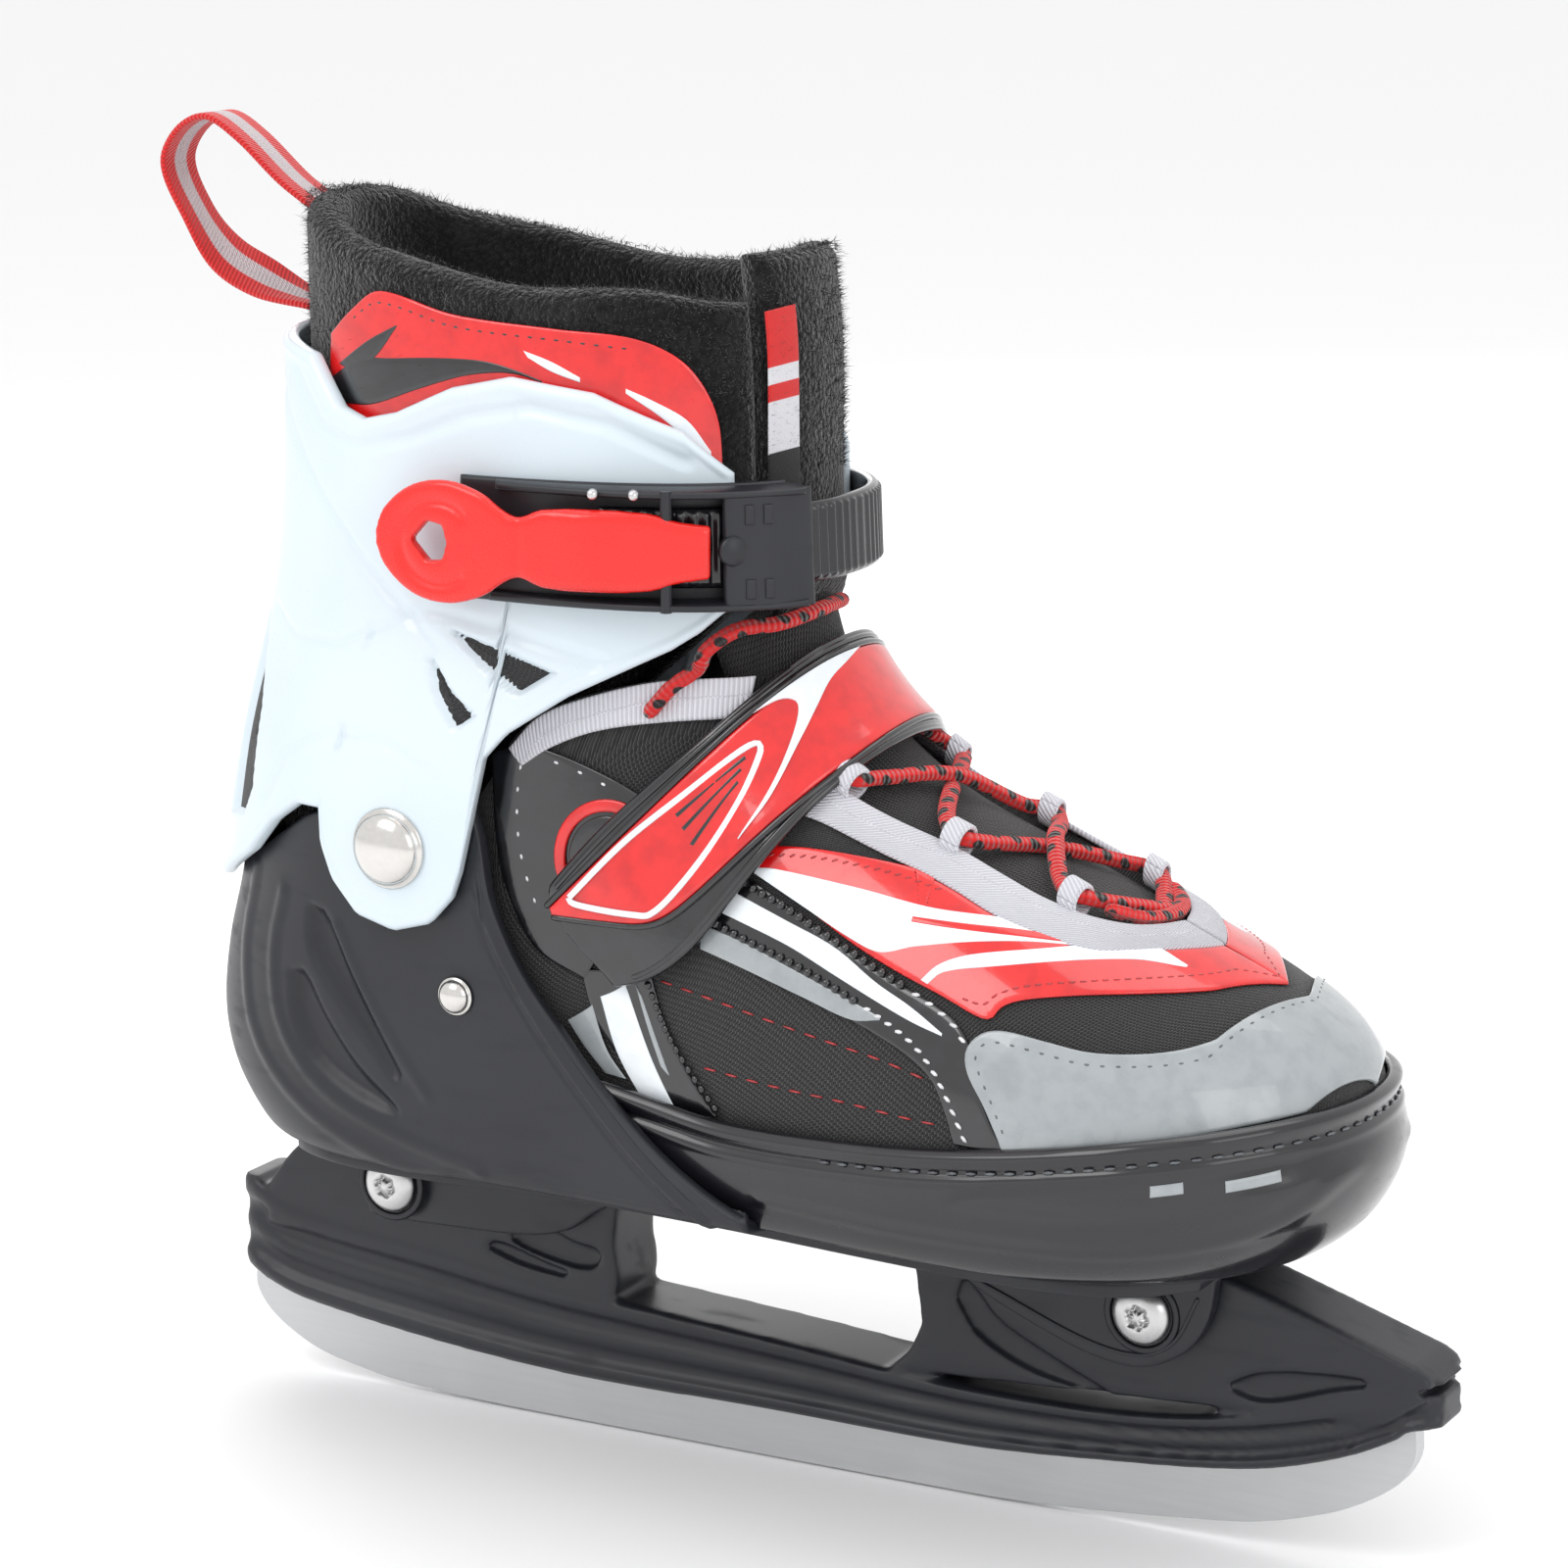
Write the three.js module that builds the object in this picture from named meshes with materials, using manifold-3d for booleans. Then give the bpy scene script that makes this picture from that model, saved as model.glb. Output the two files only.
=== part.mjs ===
// A child's adjustable ice skate: steel runner, moulded holder and chassis, sliding toe box,
// textile boot, pivoting cuff with a lever buckle, and a hook-and-loop instep strap.
// Millimetres. +X towards the toe, +Y to the inner (medial) side, +Z up.
// The origin is the middle of the runner's flat, on the ice.
import * as THREE from "three";
import { mergeVertices } from "three/addons/utils/BufferGeometryUtils.js";
import Module from "manifold-3d";

const wasm = await Module();
wasm.setup();

// ---------------------------------------------------------------- driving dimensions
const CLEAR = 0.3; // gap between touching pieces
const RUN = 0.4; // gap between pieces that move on each other

const BLADE = { thick: 4, flatRear: -60, flatFront: 46, seat: 11 };
const HOLDER = { bar: 8, flange: 10, lip: 3.6, tower: 9.5 };
const PLATE = { bottom: 59.6, top: 62.8 };
const LUG_WALL = 4;
const BOLT = { x: [-91, 88], z: [51.5, 50], shaft: 3, head: 6.2, headHigh: 2.6, socket: 2.1,
  socketDeep: 1.4 };
const NUT_HIGH = 3.6;
const SOLE = 69.3;
const FOOTBED = 2.6;
const SHELL_WALL = 3;
const TOE_WALL = 2.4;
const CUFF_WALL = 3;
const VAMP_WALL = 2.6;
const LINER_WALL = 6;
const LINER_SPLIT = -42;
const COLLAR_WALL = 8.5;
const TUCK = 4; // how far inside the upper the collar's lower edge stands
const OVERLAY_WALL = 0.9;
const TONGUE = 17;
const TRIM = { thick: 1.2, wide: 8 };
const PIVOT = { x: -69, z: 136, shaft: 4, dome: 8.6, domeHigh: 4.4, rim: 1.2 };
const STUD = { x: -56, z: 105, shaft: 2, dome: 4.2, domeHigh: 2.6, rim: 0.6 };
const BUTTON = { x: -60, z: 84, radius: 5, head: 3.6 };
const BUCKLE = { bottom: 190, top: 214.5, floor: 2, rail: 2.2, roof: 2, rear: -88, mouth: -22, pin: 1.2 };
const LEVER = { thick: 2.8, rear: -101, front: -47, knuckle: 2.5 };
const LADDER = { thick: 2.2, tooth: 0.8, bottom: 194, top: 210.5, from: -64, to: 78, teeth: 20 };
const STRAP = {
  wide: 32, top: 25, thick: 2.4, stand: 2.2, x: -21, z: 122, tilt: 49, outer: -99, inner: 96, fold: -22,
    gap: 1,
};
const WEB = { wide: 12, thick: 1.4 };
const LACE = { radius: 1.6, slack: 1.5 };
const LOOPS = { at: [83, 67, 51], out: [14.5, 17.5, 20.5], stagger: 8, long: 4, wall: 1 };

// ---------------------------------------------------------------- smooth tables
// A smooth curve through [at, value] pairs, with flat ends outside them.
function through(pairs) {
  const slope = pairs.map((p, i) => {
    const a = pairs[Math.max(0, i - 1)];
    const b = pairs[Math.min(pairs.length - 1, i + 1)];
    return (b[1] - a[1]) / (b[0] - a[0]);
  });
  return (x) => {
    if (x <= pairs[0][0]) return pairs[0][1];
    const last = pairs.length - 1;
    if (x >= pairs[last][0]) return pairs[last][1];
    let i = 0;
    while (x > pairs[i + 1][0]) i++;
    const h = pairs[i + 1][0] - pairs[i][0];
    const t = (x - pairs[i][0]) / h;
    return (2 * t ** 3 - 3 * t ** 2 + 1) * pairs[i][1] + (t ** 3 - 2 * t ** 2 + t) * h * slope[i]
      + (3 * t ** 2 - 2 * t ** 3) * pairs[i + 1][1] + (t ** 3 - t ** 2) * h * slope[i + 1];
  };
}
const mix = (a, b, t) => a + (b - a) * t;
const span = (from, to, steps) => Array.from({ length: steps + 1 }, (_, i) => mix(from, to, i / steps));
const radians = (degrees) => (degrees * Math.PI) / 180;
// A power that keeps the sign, which turns a circle's sine and cosine into a superellipse's.
const power = (value, n) => Math.sign(value) * Math.abs(value) ** n;
// Half width of a superellipse at a share t of its reach.
const bulge = (t, n) => Math.max(0, 1 - Math.min(1, Math.abs(t)) ** n) ** (1 / n);

// ---------------------------------------------------------------- the last that the boot follows
// Sections that fan from the toe, over the instep, to the collar. Each runs from a place on the sole
// or heel to a place on the ridge, and has a half width.
const STATIONS = [
  // sole x, sole z, ridge x, ridge z, half width
  [131, 80, 131, 98, 4], [129, 74, 130, 103, 13], [125, 70.5, 126, 109, 22], [117, SOLE, 119, 114.5, 31],
  [105, SOLE, 107, 120.5, 39], [90, SOLE, 93, 126.5, 44], [70, SOLE, 75, 135, 46.3], [48, SOLE, 55, 144,
    45.3],
  [24, SOLE, 37, 152.5, 42.5], [0, SOLE, 22, 164, 39.5], [-28, SOLE, 13, 176, 36.8], [-62, SOLE, 9.5, 188,
    35.5],
  [-98, SOLE, 9, 198, 35.5], [-119, 76, 8.6, 207, 35.6], [-123, 98, 8.4, 216, 35.8], [-121, 124, 8.2, 225,
    36],
  [-116, 155, 8, 234, 36.2], [-112, 190, 7.6, 243, 36.4], [-110.5, 225, 6.5, 253, 36.4], [-111, 270, 5,
    266, 36.2],
];
const LAST = STATIONS.length - 1;
const rail = (column) => through(STATIONS.map((station, i) => [i, station[column]]));
const [soleX, soleZ, ridgeX, ridgeZ, wide] = [0, 1, 2, 3, 4].map(rail);
const widest = through([[0, 0.45], [4, 0.36], [10, 0.4], [14, 0.48], [LAST, 0.48]]);
const soleRound = through([[0, 2.2], [3, 3], [6, 3.6], [11, 3.4], [14, 2.3], [LAST, 2.2]]);
const ridgeRound = through([[0, 2.2], [8, 2.1], [12, 2.3], [LAST, 2.3]]);
// The section at a station, grown outwards by grow.
function section(s, grow) {
  const tip = grow * Math.max(0, 1 - s / 3);
  const low = new THREE.Vector2(soleX(s) + tip, soleZ(s));
  const high = new THREE.Vector2(ridgeX(s) + tip, ridgeZ(s));
  const along = high.clone().sub(low).normalize();
  low.addScaledVector(along, -grow);
  high.addScaledVector(along, grow);
  return { low, high, half: wide(s) + grow };
}
// A place on the last: turn 0 is the ridge and +-180 degrees the sole; the outer side is negative.
function bootPoint(s, turn, grow) {
  const { low, high, half } = section(s, grow);
  const c = Math.cos(turn);
  const n = c > 0 ? ridgeRound(s) : soleRound(s);
  const m = widest(s);
  const share = c > 0 ? m + (1 - m) * c ** (2 / n) : m - m * Math.abs(c) ** (2 / n);
  const flat = low.clone().lerp(high, share);
  return new THREE.Vector3(flat.x, half * power(Math.sin(turn), 2 / n), flat.y);
}
// Half width of the last where a line across the skate at (x, z) meets it.
function bootSide(x, z, grow) {
  let before = 0;
  let after = LAST;
  const ahead = (s) => {
    const { low, high } = section(s, grow);
    return (high.x - low.x) * (z - low.y) - (high.y - low.y) * (x - low.x) > 0;
  };
  for (let i = 0; i < 24; i++) {
    const s = (before + after) / 2;
    if (ahead(s)) before = s;
    else after = s;
  }
  const { low, high, half } = section(before, grow);
  const length = high.distanceTo(low);
  const share = ((x - low.x) * (high.x - low.x) + (z - low.y) * (high.y - low.y)) / length ** 2;
  const m = widest(before);
  const t = share > m ? (share - m) / (1 - m) : (m - share) / m;
  return half * bulge(t, share > m ? ridgeRound(before) : soleRound(before));
}

// ---------------------------------------------------------------- plans of the moulded shells
const bootPlan = through([[-120, 34], [-62, 35.5], [-28, 36.8], [0, 39.5], [24, 42.5], [48, 45.3], [70,
  46.3],
  [134, 46]]);
const toePlan = (x) => bootPlan(x) + CLEAR + TOE_WALL;
const heelPlan = (x) => toePlan(x) + RUN + SHELL_WALL;
const TOE = { round: 2.1, length: 52, rear: -46 };
const toeTip = through([[62, 112], [66, 122], [73, 130], [85, 135], [95, 133.5], [106, 131]]);
const toeTuck = through([[62, 0.8], [64, 0.88], [68, 0.94], [75, 0.98], [85, 1], [106, 0.985]]);
// The toe shell's outside: u runs from the outer rear round the tip to the inner rear.
function toePoint(u, z) {
  const side = 2 * u - 1;
  const tip = toeTip(z);
  const x = mix(tip, TOE.rear, side * side);
  const round = bulge(Math.max(0, 1 - (tip - x) / TOE.length), TOE.round);
  return new THREE.Vector3(x, Math.sign(side) * toePlan(x) * toeTuck(z) * round, z);
}
const HEEL = { round: 2.3, length: 50, front: 14 };
const heelRear = through([[58, -117], [66, -124], [78, -131], [90, -133.5], [105, -132], [119, -128.5],
  [135, -125.5], [160, -121.5]]);
const heelTuck = through([[58, 0.84], [62, 0.91], [66, 0.96], [72, 0.99], [80, 1], [160, 1]]);
// The heel shell's outside: u runs from the outer front round the heel to the inner front.
function heelPoint(u, z) {
  const side = 2 * u - 1;
  const rear = heelRear(z);
  const x = mix(rear, HEEL.front, side * side);
  const round = bulge(Math.max(0, 1 - (x - rear) / HEEL.length), HEEL.round);
  return new THREE.Vector3(x, Math.sign(side) * heelPlan(x) * heelTuck(z) * round, z);
}
const cuffRear = through([[108, -133.6], [119, -132.6], [135, -129.6], [155, -125.5], [181, -119.5], [207,
  -116],
  [242, -114.8]]);
const cuffFront = through([[108, 24], [155, 20], [181, 14], [207, 12], [242, 11]]);
const cuffMid = through([[108, -76], [136, -72], [181, -60], [242, -54]]);
const pivotSide = heelPlan(PIVOT.x + 20) + RUN + CUFF_WALL + 2 * CLEAR;
const cuffHalf = through([[108, pivotSide], [136, pivotSide], [155, pivotSide - 0.3], [181, 42], [207, 41.4],
  [242, 41.3]]);
const CUFF_ROUND = 2.3;
// The cuff's outside: turn 0 is the front, negative turns the outer side.
function cuffPoint(turn, z, grow = 0) {
  const mid = cuffMid(z);
  const reach = (Math.cos(turn) > 0 ? cuffFront(z) - mid : mid - cuffRear(z)) + grow;
  return new THREE.Vector3(mid + reach * power(Math.cos(turn), 2 / CUFF_ROUND),
    (cuffHalf(z) + grow) * power(Math.sin(turn), 2 / CUFF_ROUND), z);
}

// ---------------------------------------------------------------- solids
function solid(geometry) {
  const bare = geometry.index ? geometry.toNonIndexed() : geometry;
  const only = new THREE.BufferGeometry().setAttribute("position", bare.getAttribute("position"));
  const merged = mergeVertices(only, 1e-4);
  return new wasm.Manifold(new wasm.Mesh({
    numProp: 3,
    vertProperties: merged.attributes.position.array,
    triVerts: new Uint32Array(merged.index.array),
  }));
}
// A closed solid from a grid of places that closes on itself across, with its two ends capped.
function tube(rings) {
  const around = rings[0].length;
  const middle = (ring) => ring.reduce((sum, p) => sum.add(p), new THREE.Vector3()).divideScalar(around);
  const places = [...rings.flat(), middle(rings[0]), middle(rings[rings.length - 1])];
  const faces = [];
  const at = (r, c) => r * around + (c % around);
  const [first, last] = [places.length - 2, places.length - 1];
  for (let c = 0; c < around; c++) {
    for (let r = 0; r < rings.length - 1; r++) {
      faces.push(at(r, c), at(r, c + 1), at(r + 1, c + 1), at(r, c), at(r + 1, c + 1), at(r + 1, c));
    }
    faces.push(first, at(0, c + 1), at(0, c), last, at(rings.length - 1, c), at(rings.length - 1, c + 1));
  }
  return outward(places, faces);
}
// Builds a solid and turns its faces out, whichever way round they were listed.
function outward(places, faces) {
  const volume = faces.reduce((sum, _, i) => (i % 3 ? sum
    : sum + places[faces[i]].dot(places[faces[i + 1]].clone().cross(places[faces[i + 2]]))), 0);
  const geometry = new THREE.BufferGeometry().setFromPoints(places);
  geometry.setIndex(volume < 0 ? faces.map((_, i) => faces[i - (i % 3) + [0, 2, 1][i % 3]]) : faces);
  return solid(geometry);
}
// The last as a closed solid, grown by grow, between two stations.
function boot(grow, from = 0, to = LAST, around = 20) {
  const between = STATIONS.map((_, i) => i).filter((i) => i > from + 0.2 && i < to - 0.2);
  const stations = [from, ...between, to];
  const turns = span(-Math.PI, Math.PI, around).slice(0, -1);
  return tube(stations.map((s) => turns.map((turn) => bootPoint(s, turn, grow))));
}
const cavity = (wall) => boot(-wall, 0.5 + wall * 0.3, LAST + 1e-6);
// A wall on a surface point(u, v), between two offsets along its normal.
function wall(point, us, vs, inner, outer) {
  const step = 1e-4;
  const normal = (u, v) => {
    const across = point(u + step, v).sub(point(u - step, v));
    return point(u, v + step).sub(point(u, v - step)).cross(across).normalize();
  };
  const place = (u, v, offset) => point(u, v).addScaledVector(normal(u, v), offset);
  return strip(vs.map((v) => [
    ...us.map((u) => place(u, v, outer)),
    ...us.map((u) => place(u, v, inner)).reverse(),
  ]));
}
// A closed solid from rings that each go out along one face and back along the other.
function strip(rings) {
  const around = rings[0].length;
  const half = around / 2;
  const places = rings.flat();
  const faces = [];
  const at = (r, c) => r * around + (c % around);
  for (let r = 0; r < rings.length - 1; r++) {
    for (let c = 0; c < around; c++) {
      faces.push(at(r, c), at(r, c + 1), at(r + 1, c + 1), at(r, c), at(r + 1, c + 1), at(r + 1, c));
    }
  }
  const end = (r, flip) => {
    for (let c = 0; c < half - 1; c++) {
      const [a, b, d, e] = [at(r, c), at(r, c + 1), at(r, around - 2 - c), at(r, around - 1 - c)];
      faces.push(...(flip ? [a, d, b, a, e, d] : [a, b, d, a, d, e]));
    }
  };
  end(0, true);
  end(rings.length - 1, false);
  return outward(places, faces);
}
// A flat outline of [x, z] points, run through the skate from side y0 to side y1.
function sideCut(outline, y0 = -70, y1 = 70) {
  const shape = new THREE.Shape(outline.map(([x, z]) => new THREE.Vector2(x, z)));
  const geometry = new THREE.ExtrudeGeometry(shape, { depth: y1 - y0, bevelEnabled: false });
  return solid(geometry.rotateX(Math.PI / 2).translate(0, y1, 0));
}
// A flat outline of [x, y] points, run upwards from z0 to z1.
function planCut(outline, z0, z1) {
  const shape = new THREE.Shape(outline.map(([x, y]) => new THREE.Vector2(x, y)));
  return solid(new THREE.ExtrudeGeometry(shape, { depth: z1 - z0, bevelEnabled: false }).translate(0, 0,
    z0));
}
// A smooth closed outline through the points given.
function rounded(points, each = 3) {
  const places = points.map(([a, b]) => new THREE.Vector3(a, b, 0));
  const curve = new THREE.CatmullRomCurve3(places, true, "centripetal");
  return curve.getPoints(points.length * each).slice(0, -1).map((p) => [p.x, p.y]);
}
const rodY = (x, z, radius, y0, y1, sides = 10) =>
  solid(new THREE.CylinderGeometry(radius, radius, y1 - y0, sides).translate(x, (y0 + y1) / 2, z));
// A turned piece: a profile of [radius, height] pairs that stands along Y from y, to the side given.
function turned(profile, x, y, z, side, sides = 14) {
  const geometry = new THREE.LatheGeometry(profile.map(([r, h]) => new THREE.Vector2(r, h)), sides);
  if (side < 0) geometry.rotateX(Math.PI);
  return solid(geometry.translate(x, y, z));
}
function dome(radius, high, rim = 0.8, steps = 3) {
  const arc = span(0, Math.PI / 2, steps).slice(0, -1);
  const crown = arc.map((a) => [radius * Math.cos(a), rim + (high - rim) * Math.sin(a)]);
  return [[0, 0], [radius, 0], ...crown, [0, high]];
}

// ---------------------------------------------------------------- nodes
const skate = new THREE.Group();
const finishes = {
  steel: new THREE.MeshStandardMaterial({ color: 0xb9bcbf, metalness: 0.9, roughness: 0.35 }),
  chrome: new THREE.MeshStandardMaterial({ color: 0xd8d8d6, metalness: 1, roughness: 0.12 }),
  blackPlastic: new THREE.MeshStandardMaterial({ color: 0x1d1e22, roughness: 0.45 }),
  whitePlastic: new THREE.MeshStandardMaterial({ color: 0xe6eef4, roughness: 0.35 }),
  redPlastic: new THREE.MeshStandardMaterial({ color: 0xe8201c, roughness: 0.3 }),
  mesh: new THREE.MeshStandardMaterial({ color: 0x1b1b1c, roughness: 0.95 }),
  plush: new THREE.MeshStandardMaterial({ color: 0x0e0e0f, roughness: 1 }),
  redPatent: new THREE.MeshStandardMaterial({ color: 0xe01b16, roughness: 0.2 }),
  blackPatent: new THREE.MeshStandardMaterial({ color: 0x0c0c0d, roughness: 0.18 }),
  silver: new THREE.MeshStandardMaterial({ color: 0xb4bac0, metalness: 0.3, roughness: 0.35 }),
  whiteWeb: new THREE.MeshStandardMaterial({ color: 0xdcdce4, roughness: 0.9 }),
  redWeb: new THREE.MeshStandardMaterial({ color: 0xd81e1a, roughness: 0.9 }),
};
function node(name, made, finish) {
  const { numProp, numVert, vertProperties, triVerts } = made.getMesh();
  const places = new Float32Array(numVert * 3);
  for (let i = 0; i < numVert; i++) {
    places.set(vertProperties.subarray(i * numProp, i * numProp + 3), i * 3);
  }
  const geometry = new THREE.BufferGeometry().setAttribute("position", new THREE.BufferAttribute(places, 3));
  geometry.setIndex(new THREE.BufferAttribute(new Uint32Array(triVerts), 1));
  const mesh = new THREE.Mesh(geometry, finishes[finish]);
  mesh.name = name;
  skate.add(mesh);
}

// ---------------------------------------------------------------- runner and holder
const bladeFoot = [[-135, 24], [-135, 18], [-128, 10], [-118, 5], [-99, 1.4], [-79, 0.3], [BLADE.flatRear,
  0],
  [BLADE.flatFront, 0], [60, 0.5], [75, 1.6], [92, 3.2], [109, 5.4], [124, 9.8], [137, 17], [143, 24],
  [143, 30]];
const holderFoot = [[144, 32], [130, 25], [110, 19], [75, 15], [46, 13], [1, 13], [-58, 13], [-117, 19],
  [-135, 25]];
const raised = (points, by) => points.map(([x, z]) => [x, z + by]);
// The runner stands in the holder's slot up to its seat.
const runnerTop = (grow) => raised(holderFoot, BLADE.seat + grow)
  .map(([x, z], i) => [x + (i === 0 ? -2 + grow : i === holderFoot.length - 1 ? 2 - grow : 0), z]);
function blade() {
  return sideCut([...bladeFoot, ...runnerTop(0)], -BLADE.thick / 2, BLADE.thick / 2);
}
const flangeTop = [[-131, 46], [-120, 41], [-85, 37], [-54, 33], [4, 29], [50, 26], [94, 28], [136, 38],
  [146, 43]];
const lugFace = HOLDER.tower + CLEAR;
const lugOuter = lugFace + LUG_WALL;
function holder() {
  const half = HOLDER.flange;
  const lip = sideCut([...holderFoot, ...raised(holderFoot, HOLDER.lip).reverse(), [150, 36]], -half, half);
  const ledge = sideCut([...raised(flangeTop, -HOLDER.lip), ...[...flangeTop].reverse()], -half, half);
  const bar = sideCut([...raised(holderFoot, 2), ...flangeTop, [151, 41]], -HOLDER.bar, HOLDER.bar);
  const top = PLATE.bottom - CLEAR;
  const rear = sideCut([[-127, 36], [-34, 30], [-38, 36], [-39, 44], [-36, top], [-114, top], [-122, 52],
    [-127, 46]], -HOLDER.tower, HOLDER.tower);
  const front = sideCut([[27, 26], [34, 32], [36.5, 38], [33, top], [103, top], [112, 57], [147, 46], [150,
    41],
    [140, 32]], -HOLDER.tower, HOLDER.tower);
  const slot = sideCut([[-150, 8], ...runnerTop(CLEAR).reverse(), [147, 36], [160, 8]],
    -BLADE.thick / 2 - CLEAR, BLADE.thick / 2 + CLEAR);
  const made = lip.add(ledge).add(bar).add(rear).add(front).subtract(slot);
  return BOLT.x.reduce((body, x, i) => body.subtract(rodY(x, BOLT.z[i], BOLT.shaft + CLEAR, -40, 40)), made);
}

// ---------------------------------------------------------------- chassis, bolts and rivets
const heelEdge = [[15, 55], [15, 66], [3, 72], [-9, 80], [-22, 91], [-31, 101], [-39, 110], [-44, 118],
  [-48, 128],
  [-50, 140], [-54, 149], [-61, 155], [-70, 157], [-79, 155], [-85, 149], [-89, 142], [-95, 139], [-103,
    134],
  [-112, 129], [-140, 126], [-140, 55]];
const vents = [
  [[-93, 119], [-89.5, 118], [-83, 106], [-75, 92], [-70.5, 84], [-77, 91], [-88, 104], [-93, 112]],
  [[-98.5, 104], [-95.5, 104.5], [-90, 96], [-82, 86], [-72, 77.5], [-83, 80.5], [-93, 87], [-98, 96]],
];
const floorHalf = through([[-116, 10], [-108, 24], [-85, 31], [-40, 29], [0, 31], [40, 35], [70, 37], [92,
  33],
  [104, 22]]);
function chassis() {
  const shell = wall(heelPoint, span(0, 1, 18), [PLATE.bottom, 64, 72, 84, 100, 118, 138, 158],
    -SHELL_WALL, 0);
  const along = span(-116, 104, 18);
  const plate = planCut([...along.map((x) => [x, -floorHalf(x)]), ...along.reverse().map((x) => [x,
    floorHalf(x)])],
    PLATE.bottom, PLATE.top);
  const heel = span(0, 1, 24).map((u) => heelPoint(u, 62)).filter((p) => p.x < -50);
  const seat = planCut(heel.map((p) => [p.x * 0.99, p.y * 0.97]), PLATE.bottom,
    SOLE - CLEAR - FOOTBED - CLEAR);
  let made = shell.intersect(sideCut(heelEdge)).add(plate).add(seat);
  for (const side of [-1, 1]) {
    const [y0, y1] = side < 0 ? [-lugOuter, -lugFace] : [lugFace, lugOuter];
    made = made.add(sideCut([[-116, 61], [-118, 52], [-113, 45], [-105, 42], [-80, 43], [-56, 44.5], [-47,
      47],
      [-40, 52], [-30, 57.5], [-16, 61]], y0, y1));
    made = made.add(sideCut([[26, 61], [38, 57], [53, 48], [75, 40], [88, 38.5], [97, 43], [103, 53], [104,
      61]],
      y0, y1));
  }
  for (const vent of vents) made = made.subtract(sideCut(vent));
  BOLT.x.forEach((x, i) => (made = made.subtract(rodY(x, BOLT.z[i], BOLT.shaft + CLEAR, -40, 40))));
  made = made.subtract(rodY(PIVOT.x, PIVOT.z, PIVOT.shaft + CLEAR, -60, 60));
  made = made.subtract(rodY(STUD.x, STUD.z, STUD.shaft + CLEAR, -60, 60));
  return made.subtract(rodY(BUTTON.x, BUTTON.z, BUTTON.radius + RUN, 10, 60));
}
// A socket-head frame bolt: domed head on the outer side, shaft through both lugs.
function frameBolt(x, z) {
  const head = turned(dome(BOLT.head, BOLT.headHigh), x, -lugOuter - CLEAR, z, -1);
  const socket = solid(new THREE.CylinderGeometry(BOLT.socket, BOLT.socket, 2 * BOLT.socketDeep, 6)
    .translate(x, -lugOuter - CLEAR - BOLT.headHigh, z));
  return head.add(rodY(x, z, BOLT.shaft, -lugOuter - 1, lugOuter + 1.6)).subtract(socket);
}
function frameNut(x, z) {
  const cap = turned(dome(BOLT.head, NUT_HIGH), x, lugOuter + CLEAR, z, 1);
  return cap.subtract(rodY(x, z, BOLT.shaft + CLEAR, lugOuter - 1, lugOuter + 1.6 + CLEAR));
}
// A rivet from outside a wall, whose domed head stands on the face given, to just inside it.
function rivet({ x, z, shaft, dome: radius, domeHigh, rim }, side, face, sides) {
  const ends = [side * (heelPlan(x) - SHELL_WALL - 1), side * (face + 1)].sort((a, b) => a - b);
  return turned(dome(radius, domeHigh, rim), x, side * face, z, side, sides).add(rodY(x, z, shaft, ...ends));
}
const pivotRivet = (side) => rivet(PIVOT, side, cuffHalf(PIVOT.z) + RUN, 20);
const shellRivet = (side) => rivet(STUD, side, heelPlan(STUD.x + STUD.dome) + CLEAR, 14);
// The size lock: a button through the inner side of the shell, on a small spring.
function sizeButton() {
  const outer = heelPlan(BUTTON.x) + BUTTON.head;
  const inner = heelPlan(BUTTON.x) - SHELL_WALL - CLEAR;
  return turned([[0, 0], [BUTTON.radius, 0], [BUTTON.radius, outer - inner - 1], [BUTTON.radius - 1,
    outer - inner],
    [0, outer - inner]], BUTTON.x, inner, BUTTON.z, 1);
}

// ---------------------------------------------------------------- soft boot
const rimLine = [[-46, 94], [-13, 89], [8, 86.5], [42, 88], [69, 91], [98, 96], [120, 99], [142, 101]];
function toeShell() {
  const heights = [PLATE.top + RUN, 66, 72, 84, 106];
  const rings = heights.map((z) => span(0, 1, 24).map((u) => toePoint(u, z)));
  const block = tube(rings);
  const inside = boot(CLEAR, 0, 12.4);
  const tail = sideCut([[-60, SOLE - CLEAR], [-40, SOLE - CLEAR], [-40, 110], [-60, 110]]);
  return block.subtract(inside).subtract(tail).intersect(sideCut([[-60, 55], ...rimLine, [142, 55]]));
}
const throatEdge = (grow) => {
  const half = through([[-30, 29], [0, 25], [14, 22.5], [40, 18], [70, 13.5], [88, 10], [98, 5]]);
  const xs = [-60, -30, 0, 20, 40, 60, 75, 88, 95];
  const left = xs.map((x) => [x + (x > 90 ? grow : 0), -half(x) - grow]);
  const right = xs.map((x) => [x + (x > 90 ? grow : 0), half(x) + grow]).reverse();
  return [...left, [99 + grow, 0], ...right];
};
const upperEdge = [[-47, 60], [-47, 120], [-49, 150], [-46, 159], [-39, 165.5], [-27, 170.5], [-13, 174],
  [4, 175],
  [20, 180], [140, 182], [140, 60]];
function upper() {
  const shell = boot(0, 0, 14).subtract(boot(-VAMP_WALL, 1, 15));
  return shell.intersect(sideCut(upperEdge)).subtract(planCut(throatEdge(0), 110, 230));
}
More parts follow.
